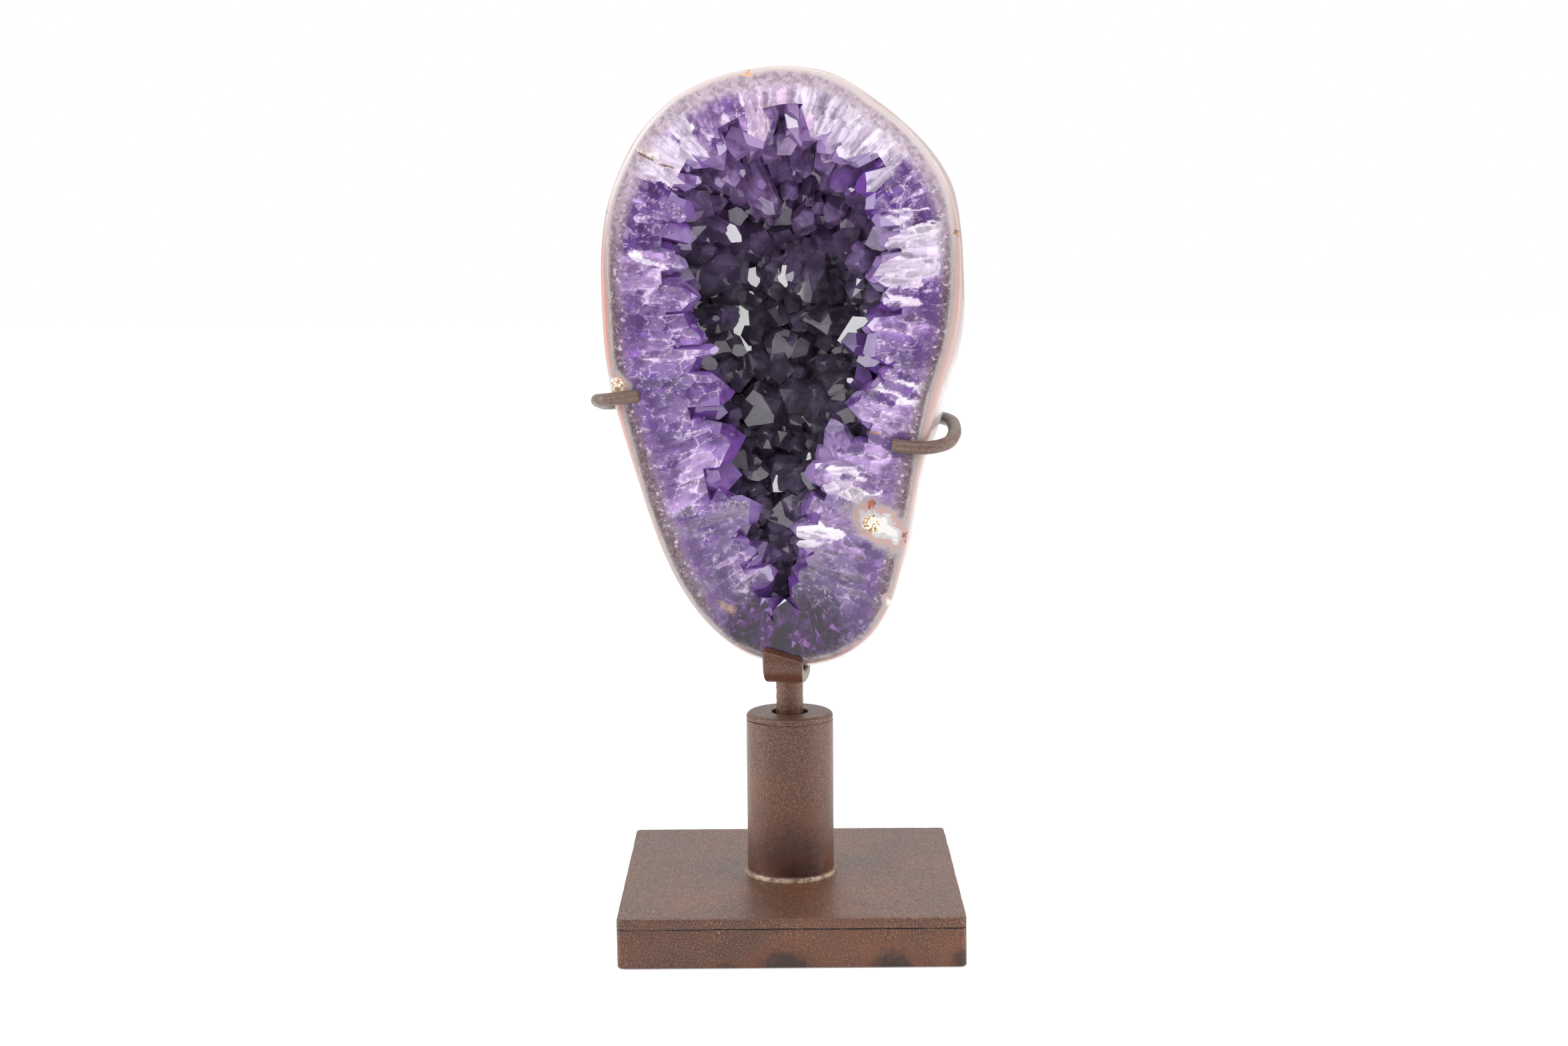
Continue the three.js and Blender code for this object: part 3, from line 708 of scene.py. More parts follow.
def bronze_paint(name, burns=(), seam=None, bead=None, worn=0.0, fine=1.8):
    """Brown paint with gold grains and rust tints: burnt, seamed and worn where asked, and with a
    painted highlight on a weld bead where asked.
    """
    look = Surface(name, Metallic=0.15, IOR=1.5, Coat_Weight=0.12, Coat_Roughness=0.3)
    place = look.place()
    level = place.vector("MULTIPLY", (1, 1, 0))
    dull, plain, rusty = (0.064, 0.024, 0.013), (0.082, 0.028, 0.014), (0.115, 0.037, 0.014)
    gold, rubbed = (0.32, 0.18, 0.105), (0.17, 0.14, 0.12)
    rust, burnt = (0.13, 0.034, 0.01), (0.02, 0.005, 0.003)
    colour = place.noise(0.03, 3).ramp((0.32, dull), (0.5, plain), (0.7, rusty))
    speckle = place.noise(fine, 3, 0.75)
    colour = colour.shade(speckle.step(0.36, 0.52, 0.45, 1.0))
    colour = colour.to(gold, speckle.step(0.53, 0.66, 0.0, 0.65))
    colour = colour.to(rubbed, place.noise(0.4, 4, 0.7).step(0.35, 0.65, 0.5 * worn, worn))
    ragged = (place.noise(0.3, 4) - 0.5) * 1.1
    for centre, size, share in burns:
        away = place.away(centre, size) + ragged
        colour = colour.to(rust, away.step(1.5, 0.9, 0.0, 0.5 * share))
        colour = colour.to(burnt, away.step(1.15, 0.3, 0.0, share))
    if seam:
        line = abs(place.parts()[2] - seam).step(0.62, 0.25)
        open_here = level.noise(0.07, 4).step(0.42, 0.5, 0.3, 0.95)
        colour = colour.to((0.012, 0.007, 0.005), line * open_here)
    # Paler ragged patches on the weld bead's outer side: a painted highlight
    if bead:
        out = level.vector("LENGTH", output="Value").step(bead, bead + 0.5)
        colour = colour.to((0.4, 0.29, 0.2), out * ragged.step(-0.15, 0.1, 0.2, 0.9))
    bump = look.bump(place.noise(1.1, 3, 0.6), 0.12, 0.5)
    return look.wear(Base_Color=colour, Roughness=speckle.step(0.35, 0.65, 0.56, 0.38), Normal=bump)


def on_face(spot, mark):
    """The distance from the middle of a mark on the cut face, as a share of its half sizes."""
    middle = (mark.centre[0], FACE_DEPTH, mark.centre[1])
    inputs = {"Vector": spot, "Center": middle, "Angle": math.radians(mark.turn)}
    turned = spot.tree.add("VectorRotate", inputs, rotation_type="Y_AXIS")
    return turned.away(middle, (mark.long, 40, mark.short))


def add_eye(colour, spot, wave, eye):
    """An eye of agate over a colour: its rings, and coarse grit in its open pocket."""
    away = on_face(spot, eye) + wave * eye.ragged
    for ring, begin, full, share in EYE_RINGS:
        colour = colour.to(ring, away.step(begin, full, 0.0, share))
    pocket = spot.away((eye.pocket[0], FACE_DEPTH, eye.pocket[1]), eye.open) + wave * 2.0
    brown, ochre, white = (0.09, 0.04, 0.015), (0.5, 0.29, 0.12), (0.85, 0.78, 0.68)
    grit = spot.noise(1.1, 3, 0.7).ramp((0.38, brown), (0.46, ochre), (0.55, white))
    return colour.to(grit, pocket.step(1.0, 0.85))


def rim_colour(look, spot, rim, inner):
    """The bands of the cut face's rim, from the salmon skin in to the fine druse."""
    side, _, height = spot.parts()
    above, below, right = height.step(300, 370), height.step(260, 205), side.step(-20, 50)
    inward = rim + (spot.noise(0.05, 3, 0.6) - 0.5) * 2.4
    skin = 2.2 + right - above * 2.6 - below * 2.0
    fine = spot.noise(1.4, 3, 0.65)
    salmon = Field(look, (0.42, 0.205, 0.175)).to((0.4, 0.27, 0.25), right)
    salmon = salmon.to((0.36, 0.27, 0.25), above)
    grey = fine.ramp((0.3, (0.24, 0.205, 0.2)), (0.7, (0.33, 0.29, 0.285)))
    grey = grey.to((0.5, 0.43, 0.425), above)
    colour = salmon.to(grey, inward.step(skin - 0.4, skin + 0.5))
    strength = spot.noise(0.12, 2).step(0.45, 0.6, 0.0, 0.5)
    line = abs(inward - (skin + 1.5)).step(0.45, 0.1, 0.0, strength)
    colour = colour.to((0.46, 0.42, 0.4), line)
    radial = look.join(look.number("round") * 0.5, rim * 0.2, 0.0).noise(1.0, 4, 0.65)
    dim, mid, light = (0.048, 0.026, 0.036), (0.096, 0.06, 0.074), (0.2, 0.142, 0.168)
    druse = (radial * 0.25 + fine * 0.75).ramp((0.36, dim), (0.5, mid), (0.64, light))
    druse = druse.to(inner, inward.step(5, 13, 0.0, 0.6))
    druse = druse.to((0.46, 0.38, 0.45), above * 0.6)
    tint, fleck, _ = spot.cells(0.6).parts()
    druse = druse.shade(tint.step(0, 1, 0.8, 1.25))
    flecks = fleck.step(0.84, 0.9) * inward.step(3, 8, 0.1, 0.7)
    druse = druse.to((0.5, 0.44, 0.5), flecks)
    wide = skin + (1.0 + above * 0.9)
    return colour.to(druse, inward.step(wide, wide + 2.2))


def cut_face(look, spot):
    """The polished face: its rim, the quartz that it cuts, its eyes, and how clear it all is."""
    tone = look.triple("tone")
    clear, rim, edge = (look.number(name) for name in ("clear", "rim", "edge"))
    seed, along, across = look.triple("growth").parts()
    height = spot.parts()[2]
    pale = tone.parts()[0].step(0.3, 0.55)

    # Streaks along each crystal, dark growth zones and a clear tip
    streaks = look.join(along * 0.045, across * 0.26, seed).noise(1.0, 3, 0.55)
    colour = tone.shade(streaks.step(0.38, 0.62, 0.6, 1.24))
    zones = look.join(along * 0.08, across * 0.07, seed).noise(1.0, 3).step(0.4, 0.56, 0.0, 0.92)
    zones = zones * (1.0 - pale * 0.85) * clear.step(0.2, 0.35, 1.0, 0.3)
    colour = colour.to((0.06, 0.024, 0.14), zones)
    tip = along.step(-10, -3) * clear.step(0.12, 0.3, 0.15, 0.75)
    colour = colour.to((0.24, 0.2, 0.3), tip)

    # Milky clouds, the shards that the crystals are cracked into, and painted light and shade across
    # each crystal
    milk = spot.vector("ADD", (40, 0, 90)).noise(0.06, 4, 0.6)
    milky = tone.to((0.62, 0.55, 0.66), 0.22)
    colour = colour.to(milky, milk.step(0.5, 0.66, 0.0, 0.4))
    feathers = spot.noise(0.4, 6, 0.66, 0.4)
    shard_place = look.join(along * 0.095 + feathers * 0.5, across * 0.17, seed)
    shards = shard_place.cells(1.0).parts()[0]
    colour = colour.shade(0.7 + shards * 0.6)
    # Each crystal lighter on one side of its axis and darker on the other: painted light and shade
    colour = colour.shade(across.step(-5, 5, 0.8, 1.18))
    small, sparkle, _ = spot.cells(0.42).parts()
    rough = (rim + shards * 6).step(19, 11)
    colour = colour.shade(1.0 + rough * small.step(0, 1, -0.25, 0.25))
    sparks = sparkle.step(0.84, 0.9) * (0.05 + rough * 0.4)
    colour = colour.to((0.66, 0.6, 0.68), sparks)

    # Feathers and pale cracks beside the crystals' borders
    patches = spot.vector("ADD", (0, 0, 31)).noise(0.04, 2).step(0.52, 0.66)
    beside = edge.step(0.0, 2.0, 0.4, 0.0).or_more(patches * 0.14)
    colour = colour.to((0.66, 0.6, 0.7), feathers.step(0.45, 0.72) * beside)
    width = milk.step(0.42, 0.6, 0.12, 0.42)
    crack = edge.step(0.0, width, feathers.step(0.4, 0.6, 0.2, 0.8), 0.0)
    wisp = abs(spot.noise(0.07, 3, 0.5, 0.8) - 0.5).step(0.0, 0.005, 0.5, 0.0)
    wisp = wisp * feathers.step(0.46, 0.62)
    breaks = shard_place.cells(1.0, "Distance", "DISTANCE_TO_EDGE").step(0.0, 0.05, 0.5, 0.0)
    breaks = breaks * feathers.step(0.5, 0.58)
    colour = colour.to((0.78, 0.72, 0.81), crack.or_more(breaks).or_more(wisp))
    colour = colour.vector("MULTIPLY", (0.96, 0.83, 1.0)).to(colour, pale)

    # Darker low down and near the rim, with dark small crystals at the foot
    colour = colour.shade(height.step(150, 205, 0.62, 1.0))
    inward = rim + (feathers - 0.5) * 9
    outer = inward.step(24, 13) * (0.7 - pale * 0.6) * milk.step(0.6, 0.44)
    colour = colour.to((0.075, 0.034, 0.12), outer)
    foot = spot.away((-1, FACE_DEPTH, 145), (30, 60, 19)) + feathers * 0.7
    night, plum, pink = (0.008, 0.002, 0.013), (0.06, 0.012, 0.105), (0.24, 0.12, 0.3)
    footing = ((shards + small) * 0.5).ramp((0.42, night), (0.82, plum), (1.0, pink))
    colour = colour.to(footing, foot.step(1.6, 1.15))
    thinner = height.step(185, 150, 0.0, 4.0) + height.step(162, 142, 0.0, 4.0)
    grown = (inward + thinner).step(7, 13)
    colour = rim_colour(look, spot, rim, tone).to(colour, grown)

    wave = spot.noise(0.2, 5, 0.62) - 0.5
    for eye in EYES:
        colour = add_eye(colour, spot, wave, eye)
    torn = (wave * 1.4 + (feathers - 0.5)) * 2.2
    grains = feathers.step(0.36, 0.6, 0.55, 1.6)
    for mark in MARKS:
        here = (on_face(spot, mark) + torn).step(1.1, 0.7, 0.0, mark.share)
        colour = colour.to(Field(look, mark.colour).shade(grains), here)
    return colour, clear * grown * milk.step(0.45, 0.7, 1.0, 0.5)


def agate():
    """The rind: banded where cut, polished and pale on the flank, rough and green-grey behind."""
    look = Surface("agate", IOR=1.54)
    spot = look.triple("spot")
    _, depth, height = spot.parts()
    soft, fine = spot.noise(0.06, 4, 0.6), spot.noise(0.9, 4, 0.6)
    salmon, cream, white = (0.32, 0.21, 0.19), (0.36, 0.3, 0.29), (0.48, 0.44, 0.43)
    flank = soft.ramp((0.34, salmon), (0.44, cream), (0.6, white))
    wavy = depth + (soft - 0.5) * 8
    waist = abs(height - 248).step(24, 42, 0.35, 1.0)
    stripe = wavy.step(FACE_DEPTH + 12, FACE_DEPTH + 7)
    beside = wavy.step(FACE_DEPTH + 3.5, FACE_DEPTH + 1.8)
    flank = flank.to((0.3, 0.205, 0.185), stripe * waist)
    flank = flank.to((0.32, 0.265, 0.25), beside * waist)
    # Darker and pinker above about 270 mm: a painted shade on the brightly lit upper flank
    flank = flank.to((0.27, 0.19, 0.175), height.step(262, 286, 0.0, 0.7))
    flank = flank.shade(fine.step(0.3, 0.7, 0.88, 1.06))
    patch = spot.vector("ADD", (17, 5, 60)).noise(0.03, 4, 0.6)
    dark, green, light = (0.07, 0.058, 0.046), (0.15, 0.14, 0.11), (0.27, 0.24, 0.2)
    back = fine.ramp((0.3, dark), (0.5, green), (0.72, light))
    back = back.to((0.16, 0.1, 0.065), patch.step(0.42, 0.62, 0.0, 0.65))
    back = back.to((0.34, 0.31, 0.26), soft.step(0.56, 0.68, 0.0, 0.5))
    behind = (depth + (soft - 0.5) * 60).step(10, 22)
    cut = depth.step(FACE_DEPTH + 0.9, FACE_DEPTH + 2.2, 1.0, 0.0)
    return look.wear(
        Base_Color=flank.to(back, behind).to(cut_face(look, spot)[0], cut),
        Roughness=behind.step(0, 1, 0.2, 0.65),
        Normal=look.bump(fine, 0.5, behind.step(0, 1, 0.1, 0.7)),
    )


def amethyst():
    """Quartz: painted where the polished face cuts it, and clear where its own facets show, which are
    painted darker the deeper they lie, as shade.
    """
    look = Surface("amethyst", IOR=1.54, Coat_Roughness=0.03)
    spot, tone, flush = look.triple("spot"), look.triple("tone"), look.number("flush")
    _, depth, height = spot.parts()
    cut, through = cut_face(look, spot)
    # How deep a facet lies behind the face: deeper facets take the dark colour, a painted shade
    inner = depth.step(FACE_DEPTH + 2, FACE_DEPTH + 20)
    veils = spot.noise(0.11, 4, 0.6, 0.5)
    violet = tone.to((0.22, 0.07, 0.44), 0.65)
    violet = violet.to((0.08, 0.035, 0.15), veils.step(0.5, 0.64, 0.0, 0.7))
    # The deep facets' dark colour, a painted shade, lighter towards the hollow's top and bottom
    dark = Field(look, (0.062, 0.048, 0.08)).to((0.26, 0.15, 0.36), height.step(300, 375))
    dark = dark.to((0.22, 0.165, 0.29), height.step(235, 180) * 0.8)
    dark = dark.shade(veils.step(0.36, 0.6, 1.35, 0.6))
    inside = inner.step(0, 1, 0.4, 0.25)
    absorption = {"Color": (0.55, 0.34, 0.68), "Density": 35.0}
    body = look.add("VolumeAbsorption", absorption, "Volume")
    look.feed(look.nodes["Material Output"].inputs["Volume"], body)
    return look.wear(
        Base_Color=violet.to(dark, inner).to(cut, flush),
        Transmission_Weight=inside + flush * (through - inside),
        Roughness=flush.step(0, 1, 0.03, 0.16),
        Coat_Weight=flush.step(0, 1, 0.7, 0.0),
    )


# The stand


def square_ring(half, corner, height):
    """A ring of points round a square with round corners."""
    flat = half - corner
    straight = np.linspace(-flat, flat, SQUARE_STEPS[0], endpoint=False)
    angles = np.linspace(0, math.pi / 2, SQUARE_STEPS[1], endpoint=False)
    across = np.concatenate([straight, flat + corner * np.sin(angles)])
    out = np.concatenate([straight * 0 + half, flat + corner * np.cos(angles)])
    ring = []
    for quarter in range(4):
        c, s = math.cos(quarter * math.pi / 2), math.sin(quarter * math.pi / 2)
        ring.append(stack(across * c + out * s, across * s - out * c, height))
    return np.concatenate(ring)


def slab(low, high, low_edge, high_edge, dents):
    """The points and faces of a square slab with round edges, dented a little along them."""
    rings = [square_ring(BASE_HALF - 4, 2, low)]
    for radius, middle, start in ((low_edge, low + low_edge, -90), (high_edge, high - high_edge, 0)):
        for inset, height in arc((-radius, middle), radius, start, start + 90, 5):
            rings.append(square_ring(BASE_HALF + inset, BASE_CORNER_RADIUS + inset, height))
    rings.append(square_ring(BASE_HALF - 4, 2, high))
    points, faces = tube_of(rings)
    dented = np.maximum(grain(points, 9, 3, 3), 0) * dents
    sides = np.abs(points[:, :2]).max(axis=1) > BASE_HALF - 1.5
    points[:, :2] *= (1 - dented / BASE_HALF * sides)[:, None]
    return points, faces


def base_block():
    form = slab(0, BLOCK_HEIGHT + 0.1, BASE_EDGE, SEAM_EDGE, BLOCK_DENTS)
    return new_piece("base_block_painted", form)


def base_top_plate():
    """The plate. The paint fills the thin seam under it here and there."""
    points, faces = slab(PLATE_LOW, PLATE_TOP, SEAM_EDGE, BASE_EDGE, PLATE_DENTS)
    filled = SEAM_PAINT * smoothstep(grain(points * [1, 1, 0], 14, 8, 2), -0.35, 0.05)
    points[:, 2] -= filled * (points[:, 2] < PLATE_LOW + 2 * SEAM_EDGE)
    return new_piece("base_plate_painted", (points, faces))


def post_tube():
    """The pipe with its wall and bore, and a lumpy weld bead at its foot."""
    foot = PLATE_TOP - 0.05
    bead_top = foot + WELD_HEIGHT
    top = POST_TOP - CAP_THICKNESS - 0.12
    bead = [(PIPE_RADIUS + WELD_WIDTH, foot)]
    for angle in np.radians([15, 30, 45, 60, 75]):
        out = PIPE_RADIUS + WELD_WIDTH * math.cos(angle) ** 1.4
        bead.append((out, foot + WELD_HEIGHT * math.sin(angle)))
    wall = [(PIPE_RADIUS, height) for height in np.linspace(bead_top, top - 1.2, 60)]
    rim = [(PIPE_RADIUS, top - 0.3), (PIPE_RADIUS - PIPE_SKIN, top - 0.06), (PIPE_RADIUS - 0.6, top)]
    bore = [(PIPE_BORE_RADIUS, top), (PIPE_BORE_RADIUS, foot)]

    def swell(ring, radius, turn):
        if radius < PIPE_RADIUS - 1:
            return 0
        low = 1 - smoothstep(ring[:, 2], bead_top, bead_top + 2)
        rough = grain(ring, 3.2, 5, 2) * low * 0.35
        near = hump(turn, math.radians(305), 0.35) * hump(ring[:, 2], 34, 9)
        ripple = 0.12 * near * grain(ring * [1, 1, 3], 4, 11, 2)
        return np.minimum(rough + ripple + 0.05 * grain(ring, 18, 21), WELD_WIDTH * low) - PIPE_SKIN

    return new_piece("post_tube_painted", lathe(bead + wall + rim + bore, POST_SIDES, swell))


def post_cap():
    """The disc on the pipe with its soft edge. The crack under it is open on the left."""
    low = POST_TOP - CAP_THICKNESS
    edge = POST_TOP - CAP_EDGE
    profile = [(CAP_HOLE_RADIUS + 0.3, low), (PIPE_RADIUS - 1.2, low)]
    profile.append((PIPE_RADIUS - PIPE_SKIN, low + 0.04))
    profile += arc((PIPE_RADIUS - CAP_EDGE, edge), CAP_EDGE, 0, 90, 9)
    profile += [(PIPE_RADIUS - CAP_EDGE - 3, POST_TOP), (CAP_HOLE_RADIUS + 1.4, POST_TOP)]
    profile += arc((CAP_HOLE_RADIUS + 0.8, POST_TOP - 0.5), 0.5, 90, 180, 4)

    def swell(ring, radius, turn):
        if radius > PIPE_RADIUS - 1 and ring[0, 2] < edge + 0.2:
            cracked = hump(turn, math.radians(222), 0.3)
            ring[:, 2] += CAP_CRACK * cracked * (0.6 + 0.4 * grain(ring, 2.5, 2))
        return np.minimum(0.1 * grain(ring, 5, 31, 2) - PIPE_SKIN, 0)

    return new_piece("post_cap_painted", lathe(profile, POST_SIDES, swell))


def spindle():
    """The rough rod, with a weld scar in front and a lumpy weld under the cradle."""
    foot = PLATE_TOP + GAP
    top = SEAT_TOP - STRAP_THICKNESS - 0.1
    weld_radius = SPINDLE_RADIUS + SPINDLE_WELD
    heights = [*np.linspace(foot + 2, 100, 12), *np.linspace(100.5, top - 2.2, 30)]
    profile = [(0.6, foot), (SPINDLE_RADIUS - 0.5, foot), (SPINDLE_RADIUS, foot + 0.6)]
    profile += [(SPINDLE_RADIUS, height) for height in heights]
    profile += [(SPINDLE_RADIUS + 0.3, top - 1.4), (weld_radius, top - 0.6)]
    profile += [(weld_radius, top), (0.6, top)]

    def swell(ring, radius, turn):
        if radius < 1:
            return 0
        rough = 0.12 * grain(ring, 2.2, 41, 3)
        weld = smoothstep(ring[:, 2], top - 3.5, top - 1) * 0.4 * grain(ring, 2.4, 43, 2)
        near = hump(ring[:, 2], SPINDLE_SCAR, 3.5) * hump(turn, math.radians(262), 0.55)
        scarred = near * 0.45 * grain(ring, 1.6, 47, 2)
        return np.minimum(rough + weld + scarred - 0.12, SPINDLE_WELD)

    return new_piece("spindle_painted", lathe(profile, SPINDLE_SIDES, swell), turned=True)


# The stone's form


def mix_by_height(low, high, height):
    return low + (high - low) * (height - CORE_LOW) / (CORE_HIGH - CORE_LOW)


def flank_swell(side, up, height):
    """How far the flank swells beyond the cut face: most on the right and at the bottom."""
    right = np.maximum(0, side) * (2.2 + 3.6 * hump(height, 255, 32))
    return right + np.maximum(0, -side) * 5 + 7.3 * np.maximum(0, -up) ** 3


def lumps(x, height):
    """Low lumps on the flanks and the back, none behind the middle where the strap runs."""
    wave = np.sin(x * 0.071 + 1.3) * np.sin(height * 0.052 + 0.4)
    wave += 0.6 * np.sin(x * 0.13 + height * 0.09 + 2.1)
    beside = smoothstep(np.abs(x), 10, 50)
    above = smoothstep(height, SPINE_TOP, SPINE_TOP + 50)
    return LUMP * wave * np.maximum(beside, above)


def wall_at(outline, turn):
    """The shell's wall, thicker near the cut face where its agate bulges in at the eye."""
    away = np.hypot(*(outline - BULGE_PLACE).T) / BULGE_SPREAD
    return WALL + BULGE * np.exp(-(away**2)) * max(0, math.cos(math.radians(2 * turn)))


def stone_ring(outline, turn, inset=0.0):
    """A ring of the stone's outside: from the face (turn 0) round to the back (turn 90)."""
    s, h = outline.T
    core = np.clip(h, CORE_LOW, CORE_HIGH)
    reach = np.hypot(s, h - core)
    side, up = s / reach, (h - core) / reach
    angle = math.radians(turn)
    along = max(math.cos(angle), 0) ** (2 / ROUNDNESS)
    back = math.sin(angle) ** (2 / ROUNDNESS)
    far = (reach - inset) * along + flank_swell(side, up, h) * 4 * back * (1 - back)
    x, height = side * far, core + up * far
    lump = lumps(x, height)
    depth = (mix_by_height(DEPTH_LOW, DEPTH_HIGH, core) - inset) * back
    depth = FACE_DEPTH + depth + lump * max(0, -math.cos(2 * angle))
    lump = lump * math.sin(2 * angle)
    return stack(x + side * lump, depth, height + up * lump)


def closing_ring(outline, inset):
    """The ring at the middle of the back, where the stone's two sides meet."""
    other = outline[-np.arange(len(outline)) % len(outline)]
    height = np.clip((outline[:, 1] + other[:, 1]) / 2, CORE_LOW, CORE_HIGH)
    depth = mix_by_height(DEPTH_LOW, DEPTH_HIGH, height) - inset + lumps(height * 0, height)
    return stack(0, FACE_DEPTH + depth, height)


def hollow_ring(edge, turn, deeper=0.0, wider=0.0):
    """A ring of the crystals' hollow, from its edge on the face round to the back."""
    s, h = edge.T
    core = np.clip(h, CORE_LOW, CORE_HIGH)
    share = math.cos(math.radians(turn)) ** 0.85 + wider / np.hypot(s, h - core)
    back = math.sin(math.radians(turn)) ** 0.9
    depth = (mix_by_height(HOLLOW_DEPTH_LOW, HOLLOW_DEPTH_HIGH, core) + deeper) * back
    return stack(s * share, FACE_DEPTH + depth, core + (h - core) * share)


def even_outline(sides):
    """The cut face's edge from the top, evenly spaced down its right and up its left half."""
    dense = closed_curve(FACE_OUTLINE, OUTLINE_POINTS)
    on_left = dense[:, 0] < 0
    top = int(np.flatnonzero(on_left & ~np.roll(on_left, -1))[0]) + 1
    dense = np.roll(dense, -top, axis=0)
    bottom = int(np.argmax(dense[:, 0] < 0))
    halves = (dense[: bottom + 1], np.vstack([dense[bottom:], dense[:1]]))
    return np.vstack([even_spots(half, sides // 2)[:-1] for half in halves])


def rim_places(points):
    """How far in from the edge of the cut face points lie, and how far round it, from the front."""
    edge = even_outline(RIM_POINTS)
    tree = kdtree.KDTree(len(edge))
    for index, (s, h) in enumerate(edge):
        tree.insert((s, 0, h), index)
    tree.balance()
    found = [tree.find((s, 0, h)) for s, _, h in points]
    step = np.linalg.norm(edge[1] - edge[0])
    return np.array([f[2] for f in found]), np.array([f[1] for f in found]) * step


# The shell


def geode_shell(cut):
    """The rind of agate: its wall, the cut face's rim with its ground edge, and the back."""
    outline = even_outline(SHELL_SIDES)
    wall = wall_at(outline, 0)
    rings = [closing_ring(outline, WALL)]
    rings += [stone_ring(outline, turn, wall_at(outline, turn)) for turn in np.linspace(84, 0, 9)]
    edge = FACE_EDGE_INSET + SKIN_INSET
    for share in np.linspace(1, 0, 21)[1:]:
        rings.append(stone_ring(outline, 0, edge + share * (wall - edge)))
    for angle in np.radians([22, 45, 68]):
        ring = stone_ring(outline, 0, edge - FACE_EDGE_INSET * math.sin(angle))
        ring[:, 1] += FACE_EDGE_INSET * (1 - math.cos(angle))
        rings.append(ring)
    shares = np.linspace(0.022, 0.82, 36)
    turns = [*np.degrees(np.arcsin(shares ** (ROUNDNESS / 2))), *np.linspace(53, 87, 20)]
    rings += [stone_ring(outline, turn, SKIN_INSET) for turn in turns]
    rings.append(closing_ring(outline, SKIN_INSET))
    form = (np.concatenate(rings), ring_faces(len(rings), SHELL_SIDES))
    shell = new_piece("geode_shell_agate", form, turned=True, sharp=60)
    spots = head_corners(shell)
    owner = record_cut(shell, spots, cut)
    record(shell, tone=gather(cut, "colour")[owner], clear=gather(cut, "clear")[owner])
    behind = smoothstep(spots[:, 1], FACE_DEPTH + 12, FACE_DEPTH + 50)
    return push(shell, (grain(spots, 15, 61, 4) - 1.3) * 0.8 * behind)


# The crust of crystals

Crystal = namedtuple("Crystal", "root tip radius colour clear")


def gather(crystals, part):
    return np.array([getattr(crystal, part) for crystal in crystals])


def cut_body(normals, offsets):
    """The corners and faces of the body that planes enclose."""
    triples = np.array(list(combinations(range(len(normals)), 3)))
    meeting = triples[np.abs(np.linalg.det(normals[triples])) > 1e-3]
    corners = np.linalg.solve(normals[meeting], offsets[meeting][..., None])[..., 0]
    corners = corners[(corners @ normals.T <= offsets + 1e-6).all(axis=1)]
    corners = np.unique(np.round(corners, 5), axis=0)
    faces = []
    for normal, offset in zip(normals, offsets):
        on = np.flatnonzero(np.abs(corners @ normal - offset) < 1e-4)
        if len(on) < 3:
            continue
        spokes = corners[on] - corners[on].mean(axis=0)
        side = unit(spokes[0])
        turn = np.arctan2(spokes @ np.cross(normal, side), spokes @ side)
        faces.append(on[np.argsort(turn)].tolist())
    return corners, faces


def quartz(root, tip, radius, draw):
    """A six sided crystal from root to tip, with three large and three small faces at its point."""
    axis = unit(tip - root)
    side = unit(np.cross(axis, (0.31, 0.87, 0.38)))
    spin = next(draw) * math.pi
    normals, offsets = [-axis], [-axis @ root]
    for k in range(6):
        out = spoke(axis, side, spin + k * math.pi / 3 + 0.12 * (next(draw) - 0.5))
        wide = radius * (0.72 + 0.26 * next(draw))
        behind = 0.3 * next(draw) if k % 2 else -0.12 * next(draw)
        prism = unit(out + 0.05 * axis)
        point = unit(POINT_LEAN[0] * out + POINT_LEAN[1] * axis)
        normals += [prism, point]
        offsets += [prism @ (root + wide * out), point @ tip + behind * radius]
    return cut_body(np.array(normals), np.array(offsets))


def companions(root, tip, radius, tone, draw):
    """A crystal and the smaller ones that stand against it."""
    root, tip = np.asarray(root, float), np.asarray(tip, float)
    grown = [(root, tip, radius, tone)]
    axis = unit(tip - root)
    side = unit(np.cross(axis, (0.2, 0.9, 0.3)))
    length = np.linalg.norm(tip - root)
    for _ in range(COMPANIONS):
        out = spoke(axis, side, next(draw) * 2 * math.pi)
        lean = (0.25 + 0.5 * next(draw)) * radius
        small = radius * (0.4 + 0.3 * next(draw))
        shorter = length * (0.12 + 0.3 * next(draw))
        end = tip + out * (0.5 * radius + lean) - axis * shorter
        grown.append((root + out * radius * 0.55, end, small, tone))
    return grown


def face_crystals(draw):
    """The large crystals that the face cuts, with their tones."""
    grown = []
    for tip_s, tip_h, root_s, root_h, radius, tone in FACE_CRYSTALS:
        below = 0.25 + 0.3 * next(draw)
        tip = (tip_s, FACE_DEPTH + radius * (below + 0.35), tip_h)
        root = (root_s, FACE_DEPTH + radius * below, root_h)
        root = np.array(root) - ROOT_DEPTH * unit(np.subtract(tip, root))
        grown += companions(root, tip, radius, tone, draw)
    return grown


def hollow_crystals(rows, draw):
    """Large crystals at chosen places in the hollow."""
    grown = []
    for *places, radius in rows:
        grown += companions(places[3:], places[:3], radius, None, draw)
    return grown


